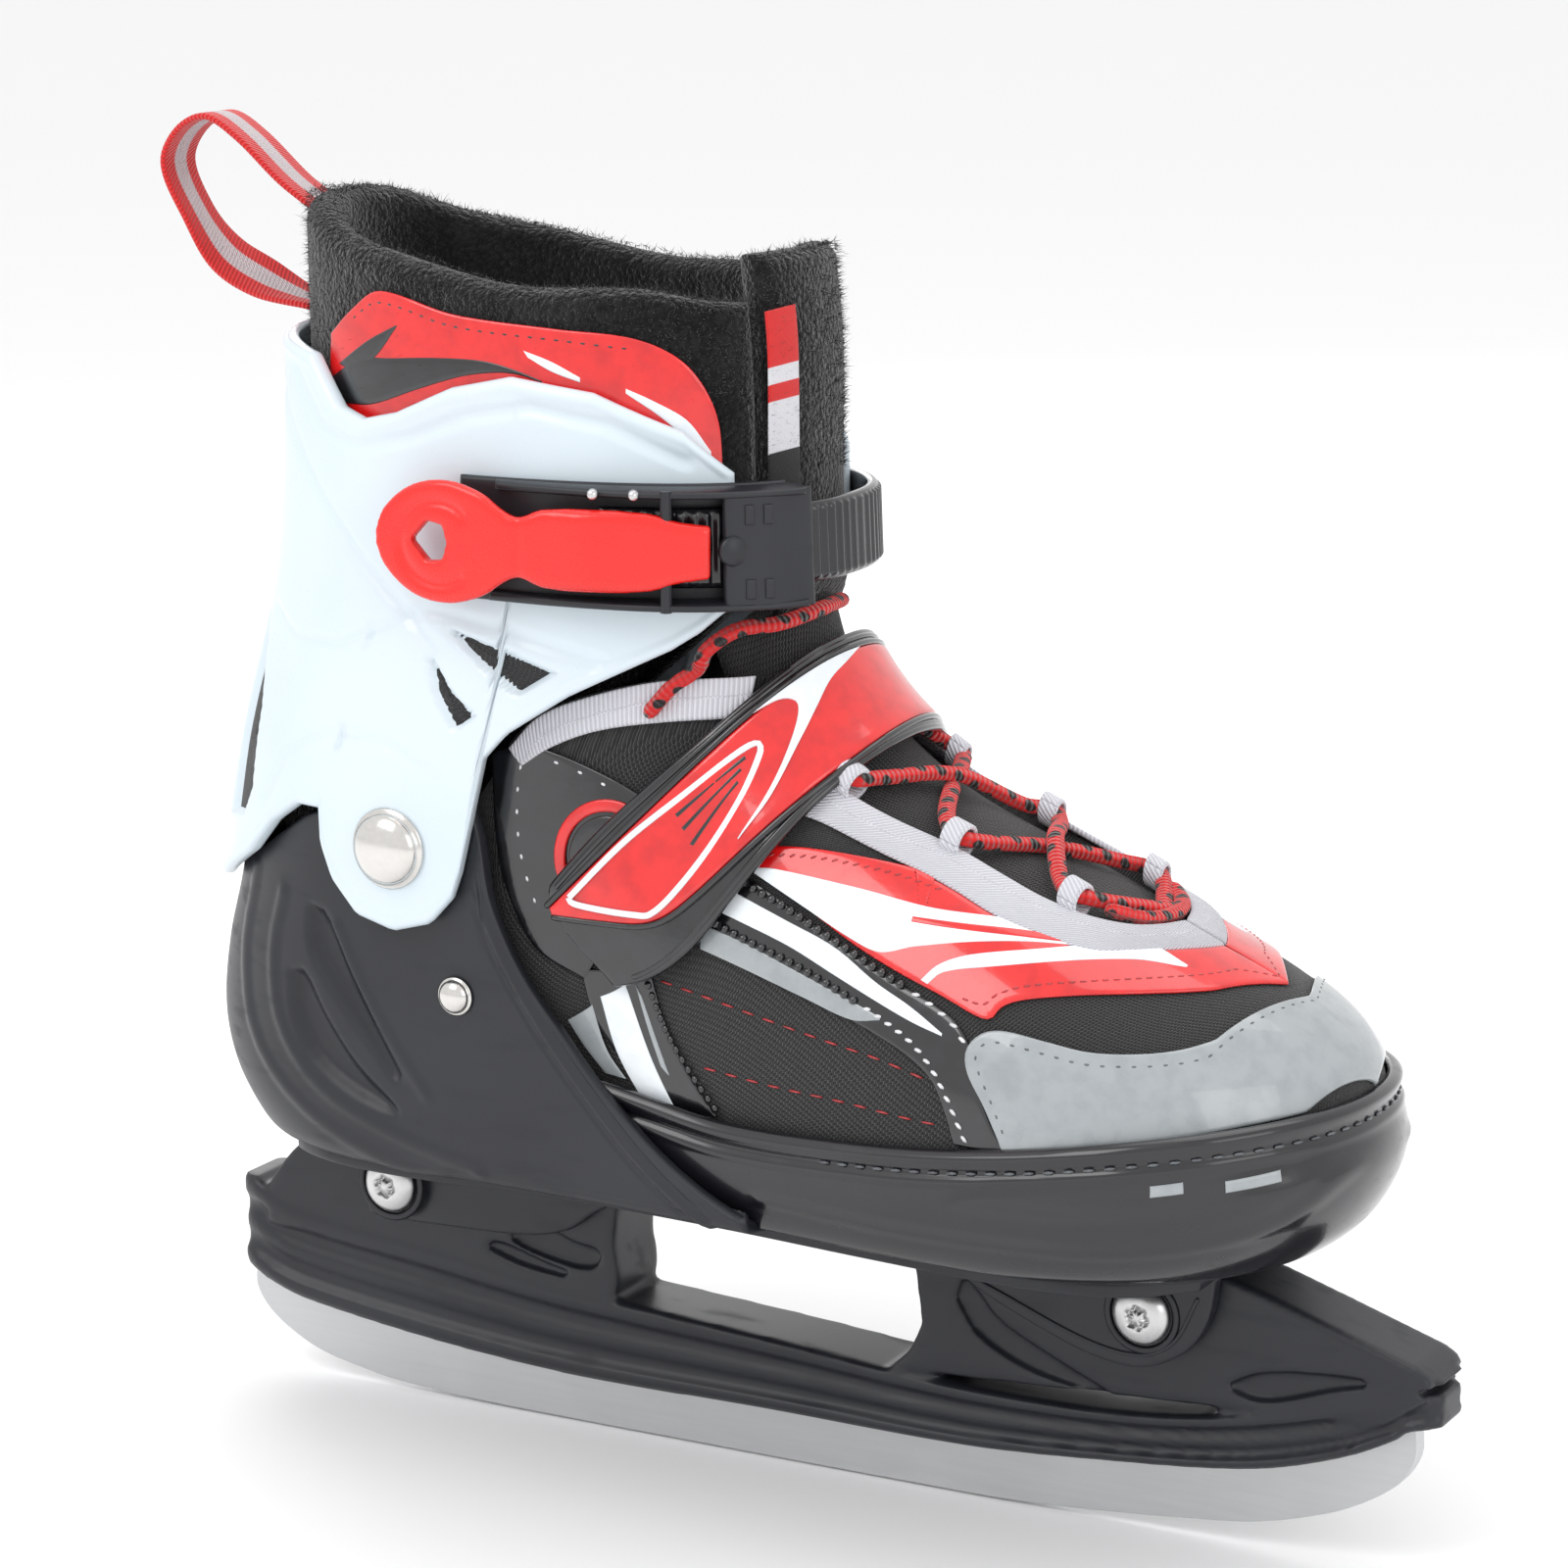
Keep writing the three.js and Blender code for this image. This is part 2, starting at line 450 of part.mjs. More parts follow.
// A thin layer sewn on the boot, cut by what is given.
function sewn(low, high, ...cuts) {
  const skin = boot(high, 0, 15).subtract(boot(low, 0, 16));
  return cuts.reduce((made, cut) => made.intersect(cut), skin);
}
function eyestay() {
  const low = CLEAR;
  const high = CLEAR + TRIM.thick;
  const around = planCut(throatEdge(TRIM.wide), 110, 230).intersect(sideCut([[2, 100], [2, 200], [140,
    200], [140, 100]]));
  const band = sideCut([[-45, 160], [-39, 166], [-27, 171], [-13, 175], [3, 177], [3, 168], [-12, 166],
    [-26, 162.5], [-37, 158]]);
  return sewn(low, high, around.add(band), sideCut(upperEdge)).subtract(planCut(throatEdge(0.4), 110, 230));
}
const overlayOutline = [[30, 128], [52, 118], [70, 114], [110, 120], [110, 135], [60, 150], [20, 160], [4,
  152],
  [6, 140]];
function vampOverlay(side) {
  const [y0, y1] = side < 0 ? [-60, -6] : [6, 60];
  return sewn(CLEAR, CLEAR + OVERLAY_WALL, sideCut(overlayOutline, y0, y1))
    .subtract(planCut(throatEdge(TRIM.wide + 0.6), 100, 230));
}
const capOutline = [[72, 84], [70, 91], [64, 102], [63, 108], [66, 112.4], [87, 111], [99, 112], [109,
  114.5],
  [140, 116], [140, 84]];
function toeCap() {
  const high = CLEAR + OVERLAY_WALL;
  const line = sideCut([[-60, 70], ...raised(rimLine, 0.4), [142, 70]]);
  return sewn(CLEAR, high, sideCut(capOutline)).subtract(line);
}
const patchOutline = [[-30, 128], [-38, 148], [-34, 158], [-20, 157], [-4, 150], [-10, 138], [-22, 130]];
function anklePatch(side) {
  return sewn(CLEAR, CLEAR + OVERLAY_WALL, sideCut(patchOutline, side < 0 ? -60 : 6, side < 0 ? -6 : 60));
}
const linerGap = VAMP_WALL + CLEAR;
// Where a line that rises forwards from the cuff's pivot is at x.
const ankleAt = (x, degrees) => [x, PIVOT.z + (x - PIVOT.x) * Math.tan(radians(degrees))];
const FOOT_SLOPE = 17;
const COLLAR_SLOPE = 40;
const tongueEdge = throatEdge(7);
const sock = () => boot(-linerGap, 0.9, 15).subtract(cavity(linerGap + LINER_WALL));
// The padding round the forefoot, which travels with the toe shell.
function linerToe() {
  const under = sideCut([[LINER_SPLIT, 60], ankleAt(LINER_SPLIT, FOOT_SLOPE), ankleAt(140, FOOT_SLOPE),
    [140, 60]]);
  return sock().intersect(under).subtract(planCut(tongueEdge, 112, 230));
}
// The padding in the heel shell.
function linerHeel() {
  const end = LINER_SPLIT - RUN;
  const under = sideCut([[-140, 60], [-140, PIVOT.z], [PIVOT.x, PIVOT.z], ankleAt(end, FOOT_SLOPE), [end,
    60]]);
  return sock().intersect(under);
}
function tongueLower() {
  const shell = boot(-linerGap, 0.9, 15).subtract(cavity(linerGap + LINER_WALL - 1));
  const under = sideCut([[-6, 60], ankleAt(-6, FOOT_SLOPE), ankleAt(140, FOOT_SLOPE), [140, 60]]);
  return shell.intersect(under).intersect(planCut(throatEdge(7 - CLEAR), 112 + CLEAR, 230));
}
const collarLine = [[-130, 268], [-111, 267], [-96, 261], [-72, 256.5], [-45, 252.5], [-17, 253], [-4, 251]];
function collar() {
  const shell = boot(0, 8, LAST).subtract(boot(-COLLAR_WALL, 6, LAST + 1e-6));
  const above = sideCut([...collarLine, [30, 251], ankleAt(30, COLLAR_SLOPE), [PIVOT.x, PIVOT.z],
    [-130, PIVOT.z + 6]]);
  const opening = planCut([[-30, -TONGUE], [30, -TONGUE], [30, TONGUE], [-30, TONGUE]], 100, 300);
  const under = boot(-linerGap - TUCK, 7, 15);
  const covered = sideCut([[-80, 130], [-60, 165], [-30, 190], [40, 205], [60, 130]]);
  return shell.intersect(above).subtract(opening).subtract(covered.subtract(under));
}
function tongueUpper() {
  const shell = boot(1.5, 8, LAST).subtract(boot(-COLLAR_WALL, 6, LAST + 1e-6));
  const half = TONGUE - CLEAR;
  return shell.intersect(planCut([[-28, -half], [28, -half], [28, half], [-28, half]], 191, 261));
}
function collarPanel(side) {
  const outline = [[-88, 243], [-76, 250.5], [-57, 246], [-34, 244.5], [-16, 243], [-9, 236], [-5, 222],
    [-5, 212],
    [-20, 232], [-42, 238.5], [-56, 236], [-70, 230], [-79, 228], [-86, 230]];
  const skin = boot(CLEAR + OVERLAY_WALL, 12, LAST).subtract(boot(CLEAR, 11, LAST + 1e-6));
  return skin.intersect(sideCut(outline, side < 0 ? -60 : 6, side < 0 ? -6 : 60));
}

// ---------------------------------------------------------------- cuff, buckle and straps
const cuffOutline = [[-140, 118], [-131, 119], [-125, 120], [-110, 129], [-102, 137], [-94, 142], [-87.5,
  142], [-87, 134],
  [-84, 127], [-78, 120.5], [-69, 118], [-60, 120.5], [-54, 127], [-51.5, 136], [-52, 144], [-49, 154],
    [-42, 162],
  [-29, 170.5], [-17, 176.5], [-9, 180.5], [-4, 184], [-2, 188], [0, 200], [2, 216], [-7, 225], [-24,
    232.5], [-42, 235],
  [-56, 232], [-70, 226], [-79, 224], [-86, 226], [-95, 236], [-114, 239], [-140, 239]];
const windows = [
  [[-111, 179], [-108, 160], [-109, 143], [-112, 137], [-119.5, 135.5], [-118.5, 150], [-114.5, 170]],
  [[-61, 177], [-56, 170], [-50, 165], [-54, 162], [-59, 169]],
  [[-57, 182.5], [-45, 179], [-33, 175], [-40, 170.5], [-49, 176]],
];
const cuffForm = (grow) => tube([112, 122, 136, 150, 165, 181, 198, 218, 242]
  .map((z) => span(-Math.PI, Math.PI, 26).slice(0, -1).map((turn) => cuffPoint(turn, z, grow))));
function cuff() {
  const inside = tube([105, 122, 136, 150, 165, 181, 198, 218, 250]
    .map((z) => span(-Math.PI, Math.PI, 26).slice(0, -1).map((turn) => cuffPoint(turn, z, -CUFF_WALL))));
  let made = cuffForm(0).subtract(inside).intersect(sideCut(cuffOutline));
  for (const slot of windows) made = made.subtract(sideCut(slot));
  made = made.subtract(rodY(ladderRivet.x, ladderRivet.z, RIVET + CLEAR, 0, 60));
  made = made.subtract(rodY(PIVOT.x, PIVOT.z, PIVOT.shaft + RUN, -60, 60));
  return made.subtract(rodY(buckleRivet.x, buckleRivet.z, RIVET + CLEAR, -60, 60));
}
const onCuff = (grow) => (u, v) => cuffPoint(radians(u), v, grow);
// A strip that follows the cuff between two turns and two heights, from low to high above it.
function cuffStrip(turns, z0, z1, low, high) {
  const rings = [z0, z1].map((z) => [
    ...turns.map((turn, i) => onCuff(typeof high === "function" ? high(turn, i) : high)(turn, z)),
    ...turns.map((turn, i) => onCuff(typeof low === "function" ? low(turn, i) : low)(turn, z)).reverse(),
  ]);
  return strip(rings);
}
const RIVET = 1.6;
const buckleRivet = (() => {
  const p = cuffPoint(radians(-78), (BUCKLE.bottom + BUCKLE.top) / 2);
  return { x: p.x, y: p.y, z: p.z };
})();
const strapLow = CLEAR + BUCKLE.floor + CLEAR;
const strapHigh = strapLow + LADDER.thick;
const leverLow = strapHigh + LADDER.tooth + 1.8;
const hinge = (() => {
  const p = cuffPoint(radians(LEVER.front - 5), BUCKLE.bottom, leverLow + LEVER.thick / 2 - 0.2);
  return { x: p.x, y: p.y };
})();
function buckleBase() {
  const turns = span(BUCKLE.rear, BUCKLE.mouth, 9);
  const rails = span(BUCKLE.rear + 8, BUCKLE.mouth, 8);
  const cover = span(LEVER.front + 7, BUCKLE.mouth, 4);
  const floor = cuffStrip(turns, BUCKLE.bottom, BUCKLE.top, CLEAR, CLEAR + BUCKLE.floor);
  const low = cuffStrip(rails, BUCKLE.bottom, BUCKLE.bottom + BUCKLE.rail, CLEAR + 0.5,
    leverLow + LEVER.thick);
  const high = cuffStrip(rails, BUCKLE.top - BUCKLE.rail, BUCKLE.top, CLEAR + 0.5, leverLow + LEVER.thick);
  const roof = cuffStrip(cover, BUCKLE.bottom, BUCKLE.top, leverLow - 0.2, leverLow - 0.2 + BUCKLE.roof);
  const bore = solid(new THREE.CylinderGeometry(BUCKLE.pin + CLEAR, BUCKLE.pin + CLEAR, 60, 12)
    .rotateX(Math.PI / 2).translate(hinge.x, hinge.y, BUCKLE.bottom));
  const made = floor.add(low).add(high).add(roof).subtract(bore);
  return made.subtract(rodY(buckleRivet.x, buckleRivet.z, RIVET + CLEAR, -60, 60));
}
const rodZ = (x, y, radius, z0, z1, sides = 12) =>
  solid(new THREE.CylinderGeometry(radius, radius, z1 - z0, sides).rotateX(Math.PI / 2).translate(x, y,
    (z0 + z1) / 2));
function leverPin() {
  return rodZ(hinge.x, hinge.y, BUCKLE.pin, BUCKLE.bottom, BUCKLE.top);
}
// The lever lies on the buckle, from its pin back to a finger ring.
function lever() {
  const [bottom, top] = [BUCKLE.bottom + BUCKLE.rail + RUN, BUCKLE.top - BUCKLE.rail - RUN];
  const knuckle = rodZ(hinge.x, hinge.y, LEVER.knuckle, bottom, top);
  const [low, high] = [leverLow, leverLow + LEVER.thick];
  const arm = cuffStrip(span(-84, LEVER.front - 5, 8), bottom, top, low, high);
  const ring = cuffStrip(span(LEVER.rear - 3, -81, 6), BUCKLE.bottom - 1, BUCKLE.top, low, high);
  const tip = cuffPoint(radians(-90), BUCKLE.top).x;
  const oval = sideCut(rounded([[tip - 10.5, 202], [tip - 7, 195], [tip + 3, 189], [tip + 14, 192],
    [tip + 17, 202],
    [tip + 14, 211], [tip + 3, 215], [tip - 7, 209]]));
  const finger = sideCut(rounded([[tip - 4.5, 202], [tip + 1, 197], [tip + 5, 197.5], [tip + 5.5, 202],
    [tip + 5, 206.5], [tip + 1, 207]]));
  const bore = rodZ(hinge.x, hinge.y, BUCKLE.pin + CLEAR, BUCKLE.bottom - 5, BUCKLE.top + 5);
  return ring.intersect(oval).subtract(finger).add(arm).add(knuckle).subtract(bore);
}
function buckleRivetPiece() {
  const inner = Math.abs(buckleRivet.y) - CUFF_WALL - 0.2;
  const outer = Math.abs(buckleRivet.y) + CLEAR + BUCKLE.floor + 2 * CLEAR;
  const head = turned([[0, 0], [RIVET * 2, 0], [RIVET * 1.6, 1], [0, 1.2]], buckleRivet.x, -outer,
    buckleRivet.z, -1);
  return head.add(rodY(buckleRivet.x, buckleRivet.z, RIVET, -outer - 0.5, -inner));
}
// The toothed strap: riveted to the inner side of the cuff, round the front, into the buckle.
const ladderLow = (turn) => mix(strapLow, CLEAR, Math.min(1, Math.max(0, (turn + 10) / 50)));
function ladderStrap() {
  const turns = span(LADDER.from, LADDER.to, LADDER.teeth * 2);
  const toothed = (turn, i) => ladderLow(turn) + LADDER.thick + (i % 2 && turn < 50 ? LADDER.tooth : 0);
  const made = cuffStrip(turns, LADDER.bottom, LADDER.top, ladderLow, toothed);
  return made.subtract(rodY(ladderRivet.x, ladderRivet.z, RIVET + CLEAR, 0, 60));
}
const ladderRivet = (() => {
  const p = cuffPoint(radians(LADDER.to - 6), (LADDER.bottom + LADDER.top) / 2);
  return { x: p.x, y: p.y, z: p.z };
})();
function ladderRivetPiece() {
  const face = ladderRivet.y + CLEAR + LADDER.thick + 2 * CLEAR + 0.2;
  return turned(dome(RIVET * 2.2, 1.8), ladderRivet.x, face, ladderRivet.z, 1, 16)
    .add(rodY(ladderRivet.x, ladderRivet.z, RIVET, ladderRivet.y - CUFF_WALL - 0.2, face + 0.5));
}
// A webbing strip along a path of [x, z] points, lying across the skate.
function webbing(path, thick, y0, y1) {
  const curve = new THREE.CatmullRomCurve3(path.map(([x, z]) => new THREE.Vector3(x, 0, z)));
  const steps = path.length * 2;
  const edge = (side) => span(0, 1, steps).map((t) => {
    const p = curve.getPoint(t);
    const along = curve.getTangent(t);
    return [p.x - along.z * side * thick / 2, p.z + along.x * side * thick / 2];
  });
  return sideCut([...edge(1), ...edge(-1).reverse()], y0, y1);
}
function pullLoop() {
  const path = [[-112.2, 263], [-120, 268], [-131, 277.5], [-139, 282], [-147, 278.5], [-151, 271], [-147,
    262],
    [-138, 251], [-128, 245.5], [-119, 242.4], [-112.4, 241]];
  return webbing(path, WEB.thick, -WEB.wide / 2, WEB.wide / 2);
}
// The instep strap lies in a plane that leans with the instep; turn 0 is its top, from its middle line.
const strapAcross = new THREE.Vector2(Math.sin(radians(STRAP.tilt)), -Math.cos(radians(STRAP.tilt)));
const strapAlong = new THREE.Vector2(Math.cos(radians(STRAP.tilt)), Math.sin(radians(STRAP.tilt)));
function strapPoint(turn, across, stand) {
  const base = new THREE.Vector2(STRAP.x, STRAP.z).addScaledVector(strapAcross, across);
  const a = radians(turn);
  let low = 0;
  let high = 120;
  for (let i = 0; i < 22; i++) {
    const r = (low + high) / 2;
    const p = base.clone().addScaledVector(strapAlong, r * Math.cos(a));
    if (Math.abs(r * Math.sin(a)) < bootSide(p.x, p.y, stand)) low = r;
    else high = r;
  }
  const p = base.addScaledVector(strapAlong, low * Math.cos(a));
  return new THREE.Vector3(p.x, low * Math.sin(a), p.y);
}
const strapWide = through([[0, STRAP.top], [30, STRAP.top + 1], [70, STRAP.wide], [100, STRAP.wide]]);
function strapBand(turns, low, high) {
  return strip(span(-0.5, 0.5, 3).map((share) => [
    ...turns.map((turn) => strapPoint(turn, share * strapWide(Math.abs(turn)), high)),
    ...turns.map((turn) => strapPoint(turn, share * strapWide(Math.abs(turn)), low)).reverse(),
  ]));
}
function instepStrap() {
  return strapBand(span(STRAP.outer, STRAP.fold, 14), STRAP.stand, STRAP.stand + STRAP.thick);
}
// The strap's inner half, sewn down at the anchor. The outer half folds open where the two meet.
function strapBase() {
  return strapBand(span(STRAP.fold + STRAP.gap, STRAP.inner, 10), STRAP.stand, STRAP.stand + STRAP.thick);
}
function strapAnchor() {
  return strapBand([STRAP.inner + 2, STRAP.inner + 8, STRAP.inner + 14], CLEAR, STRAP.stand + STRAP.thick);
}
// One round lace that crosses from loop to loop over the tongue.
const ridge = (x, y, grow) => {
  let low = 60;
  let high = 260;
  for (let i = 0; i < 24; i++) {
    const z = (low + high) / 2;
    if (bootSide(x, z, grow) > Math.abs(y)) low = z;
    else high = z;
  }
  return low;
};
const loopOuter = LACE.radius + LACE.slack + LOOPS.wall;
const laceHeight = CLEAR + TRIM.thick + CLEAR + loopOuter;
const lacePoint = (x, y) => new THREE.Vector3(x, y, ridge(x, y, laceHeight));
function lace() {
  const points = [lacePoint(93, 0), lacePoint(88, -11)];
  LOOPS.at.forEach((x, i) => {
    for (const side of [-1, 1]) {
      const at = x - (side > 0 ? LOOPS.stagger : 0);
      points.push(lacePoint(at + LOOPS.long, side * LOOPS.out[i]), lacePoint(at - LOOPS.long,
        side * LOOPS.out[i]));
    }
  });
  const path = new THREE.CatmullRomCurve3(points, false, "centripetal");
  const ring = new THREE.Shape().absarc(0, 0, LACE.radius, 0, 2 * Math.PI);
  return solid(new THREE.ExtrudeGeometry(ring, {
    extrudePath: path, steps: 50, curveSegments: 2, bevelEnabled: false,
  }));
}
// A webbing loop sewn on the eyestay, bored for the lace.
function laceLoop(i, side) {
  const x = LOOPS.at[i] - (side > 0 ? LOOPS.stagger : 0);
  const y = side * LOOPS.out[i];
  const [ahead, behind] = [lacePoint(x + LOOPS.long / 2, y), lacePoint(x - LOOPS.long / 2, y)];
  const middle = ahead.clone().add(behind).divideScalar(2);
  const lean = Math.atan2(ahead.z - behind.z, LOOPS.long);
  const hole = LACE.radius + LACE.slack;
  const place = (geometry) => geometry.rotateY(-lean).translate(middle.x, middle.y, middle.z);
  const pipe = (radius, long) => solid(place(new THREE.CylinderGeometry(radius, radius, long, 12)
    .rotateZ(Math.PI / 2)));
  return pipe(loopOuter, LOOPS.long - 1).subtract(pipe(hole, LOOPS.long * 2));
}
function footbed() {
  const heel = span(0, 1, 30).map((u) => heelPoint(u, 70)).filter((p) => p.x < LINER_SPLIT);
  return planCut(heel.map((p) => [p.x * 0.94, p.y * 0.85]), SOLE - CLEAR - FOOTBED, SOLE - CLEAR);
}
function buttonSpring() {
  const inner = heelPlan(BUTTON.x) - SHELL_WALL - CLEAR;
  const radius = BUTTON.radius - 1.6;
  const coil = (turn) => new THREE.Vector3(BUTTON.x + radius * Math.cos(turn * 2 * Math.PI),
    inner - CLEAR - 0.4 - turn * 0.9, BUTTON.z + radius * Math.sin(turn * 2 * Math.PI));
  const wire = new THREE.Shape().absarc(0, 0, 0.35, 0, 2 * Math.PI);
  return solid(new THREE.ExtrudeGeometry(wire, {
    extrudePath: new THREE.CatmullRomCurve3(span(0, 3, 36).map(coil)), steps: 27, curveSegments: 2,
      bevelEnabled: false,
  }));
}

node("blade", blade(), "steel");
node("blade_holder", holder(), "blackPlastic");
node("chassis", chassis(), "blackPlastic");
["rear", "front"].forEach((end, i) => {
  node(`${end}_frame_bolt`, frameBolt(BOLT.x[i], BOLT.z[i]), "steel");
  node(`${end}_frame_nut`, frameNut(BOLT.x[i], BOLT.z[i]), "steel");
});
node("footbed", footbed(), "mesh");
node("toe_shell", toeShell(), "blackPlastic");
node("upper", upper(), "mesh");
node("liner_toe", linerToe(), "plush");
node("liner_heel", linerHeel(), "plush");
node("tongue_lower", tongueLower(), "plush");
node("toe_cap", toeCap(), "silver");
node("eyestay_trim", eyestay(), "whiteWeb");
for (const [side, name] of [[-1, "outer"], [1, "inner"]]) {
  node(`vamp_overlay_${name}`, vampOverlay(side), "redPatent");
  node(`ankle_patch_${name}`, anklePatch(side), "blackPatent");
  node(`ankle_rivet_${name}`, pivotRivet(side), "chrome");
  node(`shell_rivet_${name}`, shellRivet(side), "chrome");
  node(`collar_panel_${name}`, collarPanel(side), "redPatent");
  LOOPS.at.forEach((_, i) => node(`lace_loop_${name}_${i + 1}`, laceLoop(i, side), "whiteWeb"));
}
node("lace", lace(), "redWeb");
node("size_button", sizeButton(), "redPlastic");
node("size_button_spring", buttonSpring(), "steel");
node("collar", collar(), "plush");
node("tongue_upper", tongueUpper(), "plush");
node("pull_loop", pullLoop(), "redWeb");
node("cuff", cuff(), "whitePlastic");
node("buckle_base", buckleBase(), "blackPlastic");
node("buckle_rivet", buckleRivetPiece(), "steel");
node("buckle_lever", lever(), "redPlastic");
node("lever_pin", leverPin(), "steel");
node("ladder_strap", ladderStrap(), "blackPlastic");
node("ladder_rivet", ladderRivetPiece(), "chrome");
node("instep_strap", instepStrap(), "redPatent");
node("strap_base", strapBase(), "redPatent");
node("strap_anchor", strapAnchor(), "blackPatent");

export default skate;
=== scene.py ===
"""A child's adjustable ice skate for the right foot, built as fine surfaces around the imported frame.

Lengths are in millimetres until a mesh is made. +X is the toe, +Y the inner side, +Z up. Most shapes are
functions of two parameters: places on the last that the boot follows, or on the cuff, heel and toe shells.
"""

import bmesh
import bpy
import numpy as np
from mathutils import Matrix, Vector


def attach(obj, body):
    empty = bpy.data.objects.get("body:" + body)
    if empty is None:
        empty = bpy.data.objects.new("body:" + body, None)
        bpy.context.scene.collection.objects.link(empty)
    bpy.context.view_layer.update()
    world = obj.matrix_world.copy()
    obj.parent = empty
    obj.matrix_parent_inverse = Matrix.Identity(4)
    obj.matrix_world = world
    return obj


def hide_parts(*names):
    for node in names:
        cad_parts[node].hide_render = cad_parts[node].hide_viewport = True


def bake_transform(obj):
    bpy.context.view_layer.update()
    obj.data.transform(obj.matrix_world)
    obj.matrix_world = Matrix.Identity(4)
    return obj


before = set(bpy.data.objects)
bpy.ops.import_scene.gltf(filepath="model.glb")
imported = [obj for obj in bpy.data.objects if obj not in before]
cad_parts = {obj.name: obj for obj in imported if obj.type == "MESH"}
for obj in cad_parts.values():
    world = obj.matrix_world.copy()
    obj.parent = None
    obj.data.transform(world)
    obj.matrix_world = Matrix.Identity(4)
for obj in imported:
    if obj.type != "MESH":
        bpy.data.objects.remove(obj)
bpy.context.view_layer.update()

MM = 0.001
RUN = 0.4
MERGE = 1e-6
OUTER, INNER = -1, 1
SIDES = {"outer": OUTER, "inner": INNER}
rng = np.random.default_rng(7)

# ------------------------------------------------------------------ camera, lights and floor
CAMERA_AT = Vector((0.4572, -0.8620, 0.3640))
CAMERA_TO = Vector((-0.0011, 0.0, 0.1476))
LENS = 110.25
# The floor's half width, and how far it lies under the runner, in metres.
FLOOR_HALF, FLOOR_GAP = 40.0, 0.0005
# Each light's place, width in metres and power in watts.
LIGHTS = {"key": ((-0.5, -1.1, 1.3), 0.9, 8), "fill": ((1.3, -0.7, 0.7), 0.8, 3), "top": ((0.1, 0.3, 1.5), 1.0, 4),
          "back": ((-0.9, 1.0, 0.8), 0.8, 5)}


def studio():
    """A camera at three quarters from the front, broad soft lights, and a pale floor."""
    camera = bpy.data.objects.new("camera", bpy.data.cameras.new("camera"))
    camera.data.lens = LENS
    camera.location = CAMERA_AT
    camera.rotation_euler = (CAMERA_TO - CAMERA_AT).to_track_quat("-Z", "Y").to_euler()
    bpy.context.scene.collection.objects.link(camera)
    bpy.context.scene.camera = camera
    for name, (at, size, energy) in LIGHTS.items():
        light = bpy.data.objects.new(name, bpy.data.lights.new(name, "AREA"))
        light.data.size = size
        light.data.energy = energy
        light.location = at
        light.rotation_euler = (Vector((0, 0, 0.12)) - Vector(at)).to_track_quat("-Z", "Y").to_euler()
        bpy.context.scene.collection.objects.link(light)
    world = bpy.data.worlds.new("studio")
    world.use_nodes = True
    background = world.node_tree.nodes["Background"].inputs
    background["Color"].default_value = (1, 1, 1, 1)
    background["Strength"].default_value = 1.0
    bpy.context.scene.world = world
    bpy.context.scene.view_settings.view_transform = "Standard"
    floor = bpy.data.meshes.new("floor")
    corners = [(FLOOR_HALF * x, FLOOR_HALF * y, 0) for x, y in ((-1, -1), (1, -1), (1, 1), (-1, 1))]
    floor.from_pydata(corners, [], [(0, 1, 2, 3)])
    ground = bpy.data.objects.new("floor", floor)
    ground.location.z = -FLOOR_GAP
    pale = bpy.data.materials.new("pale_floor")
    pale.use_nodes = True
    shader = pale.node_tree.nodes["Principled BSDF"].inputs
    shader["Base Color"].default_value = (0.92, 0.92, 0.925, 1)
    shader["Roughness"].default_value = 0.9
    floor.materials.append(pale)
    bpy.context.scene.collection.objects.link(ground)


studio()


# ------------------------------------------------------------------ materials
# The outputs of a Texture Coordinate node.
UV_OUTPUT, OBJECT_OUTPUT = 2, 3


class Wire:
    """A shader socket that adds Math nodes when it is used in an expression."""

    def __init__(self, paint, socket):
        self.paint = paint
        self.socket = socket

    def maths(self, operation, *values):
        return self.paint.node("ShaderNodeMath", {"operation": operation}, dict(enumerate(values)))

    def __add__(self, other):
        return self.maths("ADD", self, other)

    def __sub__(self, other):
        return self.maths("SUBTRACT", self, other)

    def __rsub__(self, other):
        return self.maths("SUBTRACT", other, self)

    def __mul__(self, other):
        return self.maths("MULTIPLY", self, other)

    __radd__ = __add__
    __rmul__ = __mul__

    def sine(self):
        return self.maths("SINE", self)

    def size(self):
        return self.maths("ABSOLUTE", self)

    def above(self, edge, soft=0.1):
        """0 below edge - soft, 1 above edge + soft."""
        return self.paint.node("ShaderNodeMapRange", {"interpolation_type": "SMOOTHSTEP"},
                               {"Value": self, "From Min": edge - soft, "From Max": edge + soft})


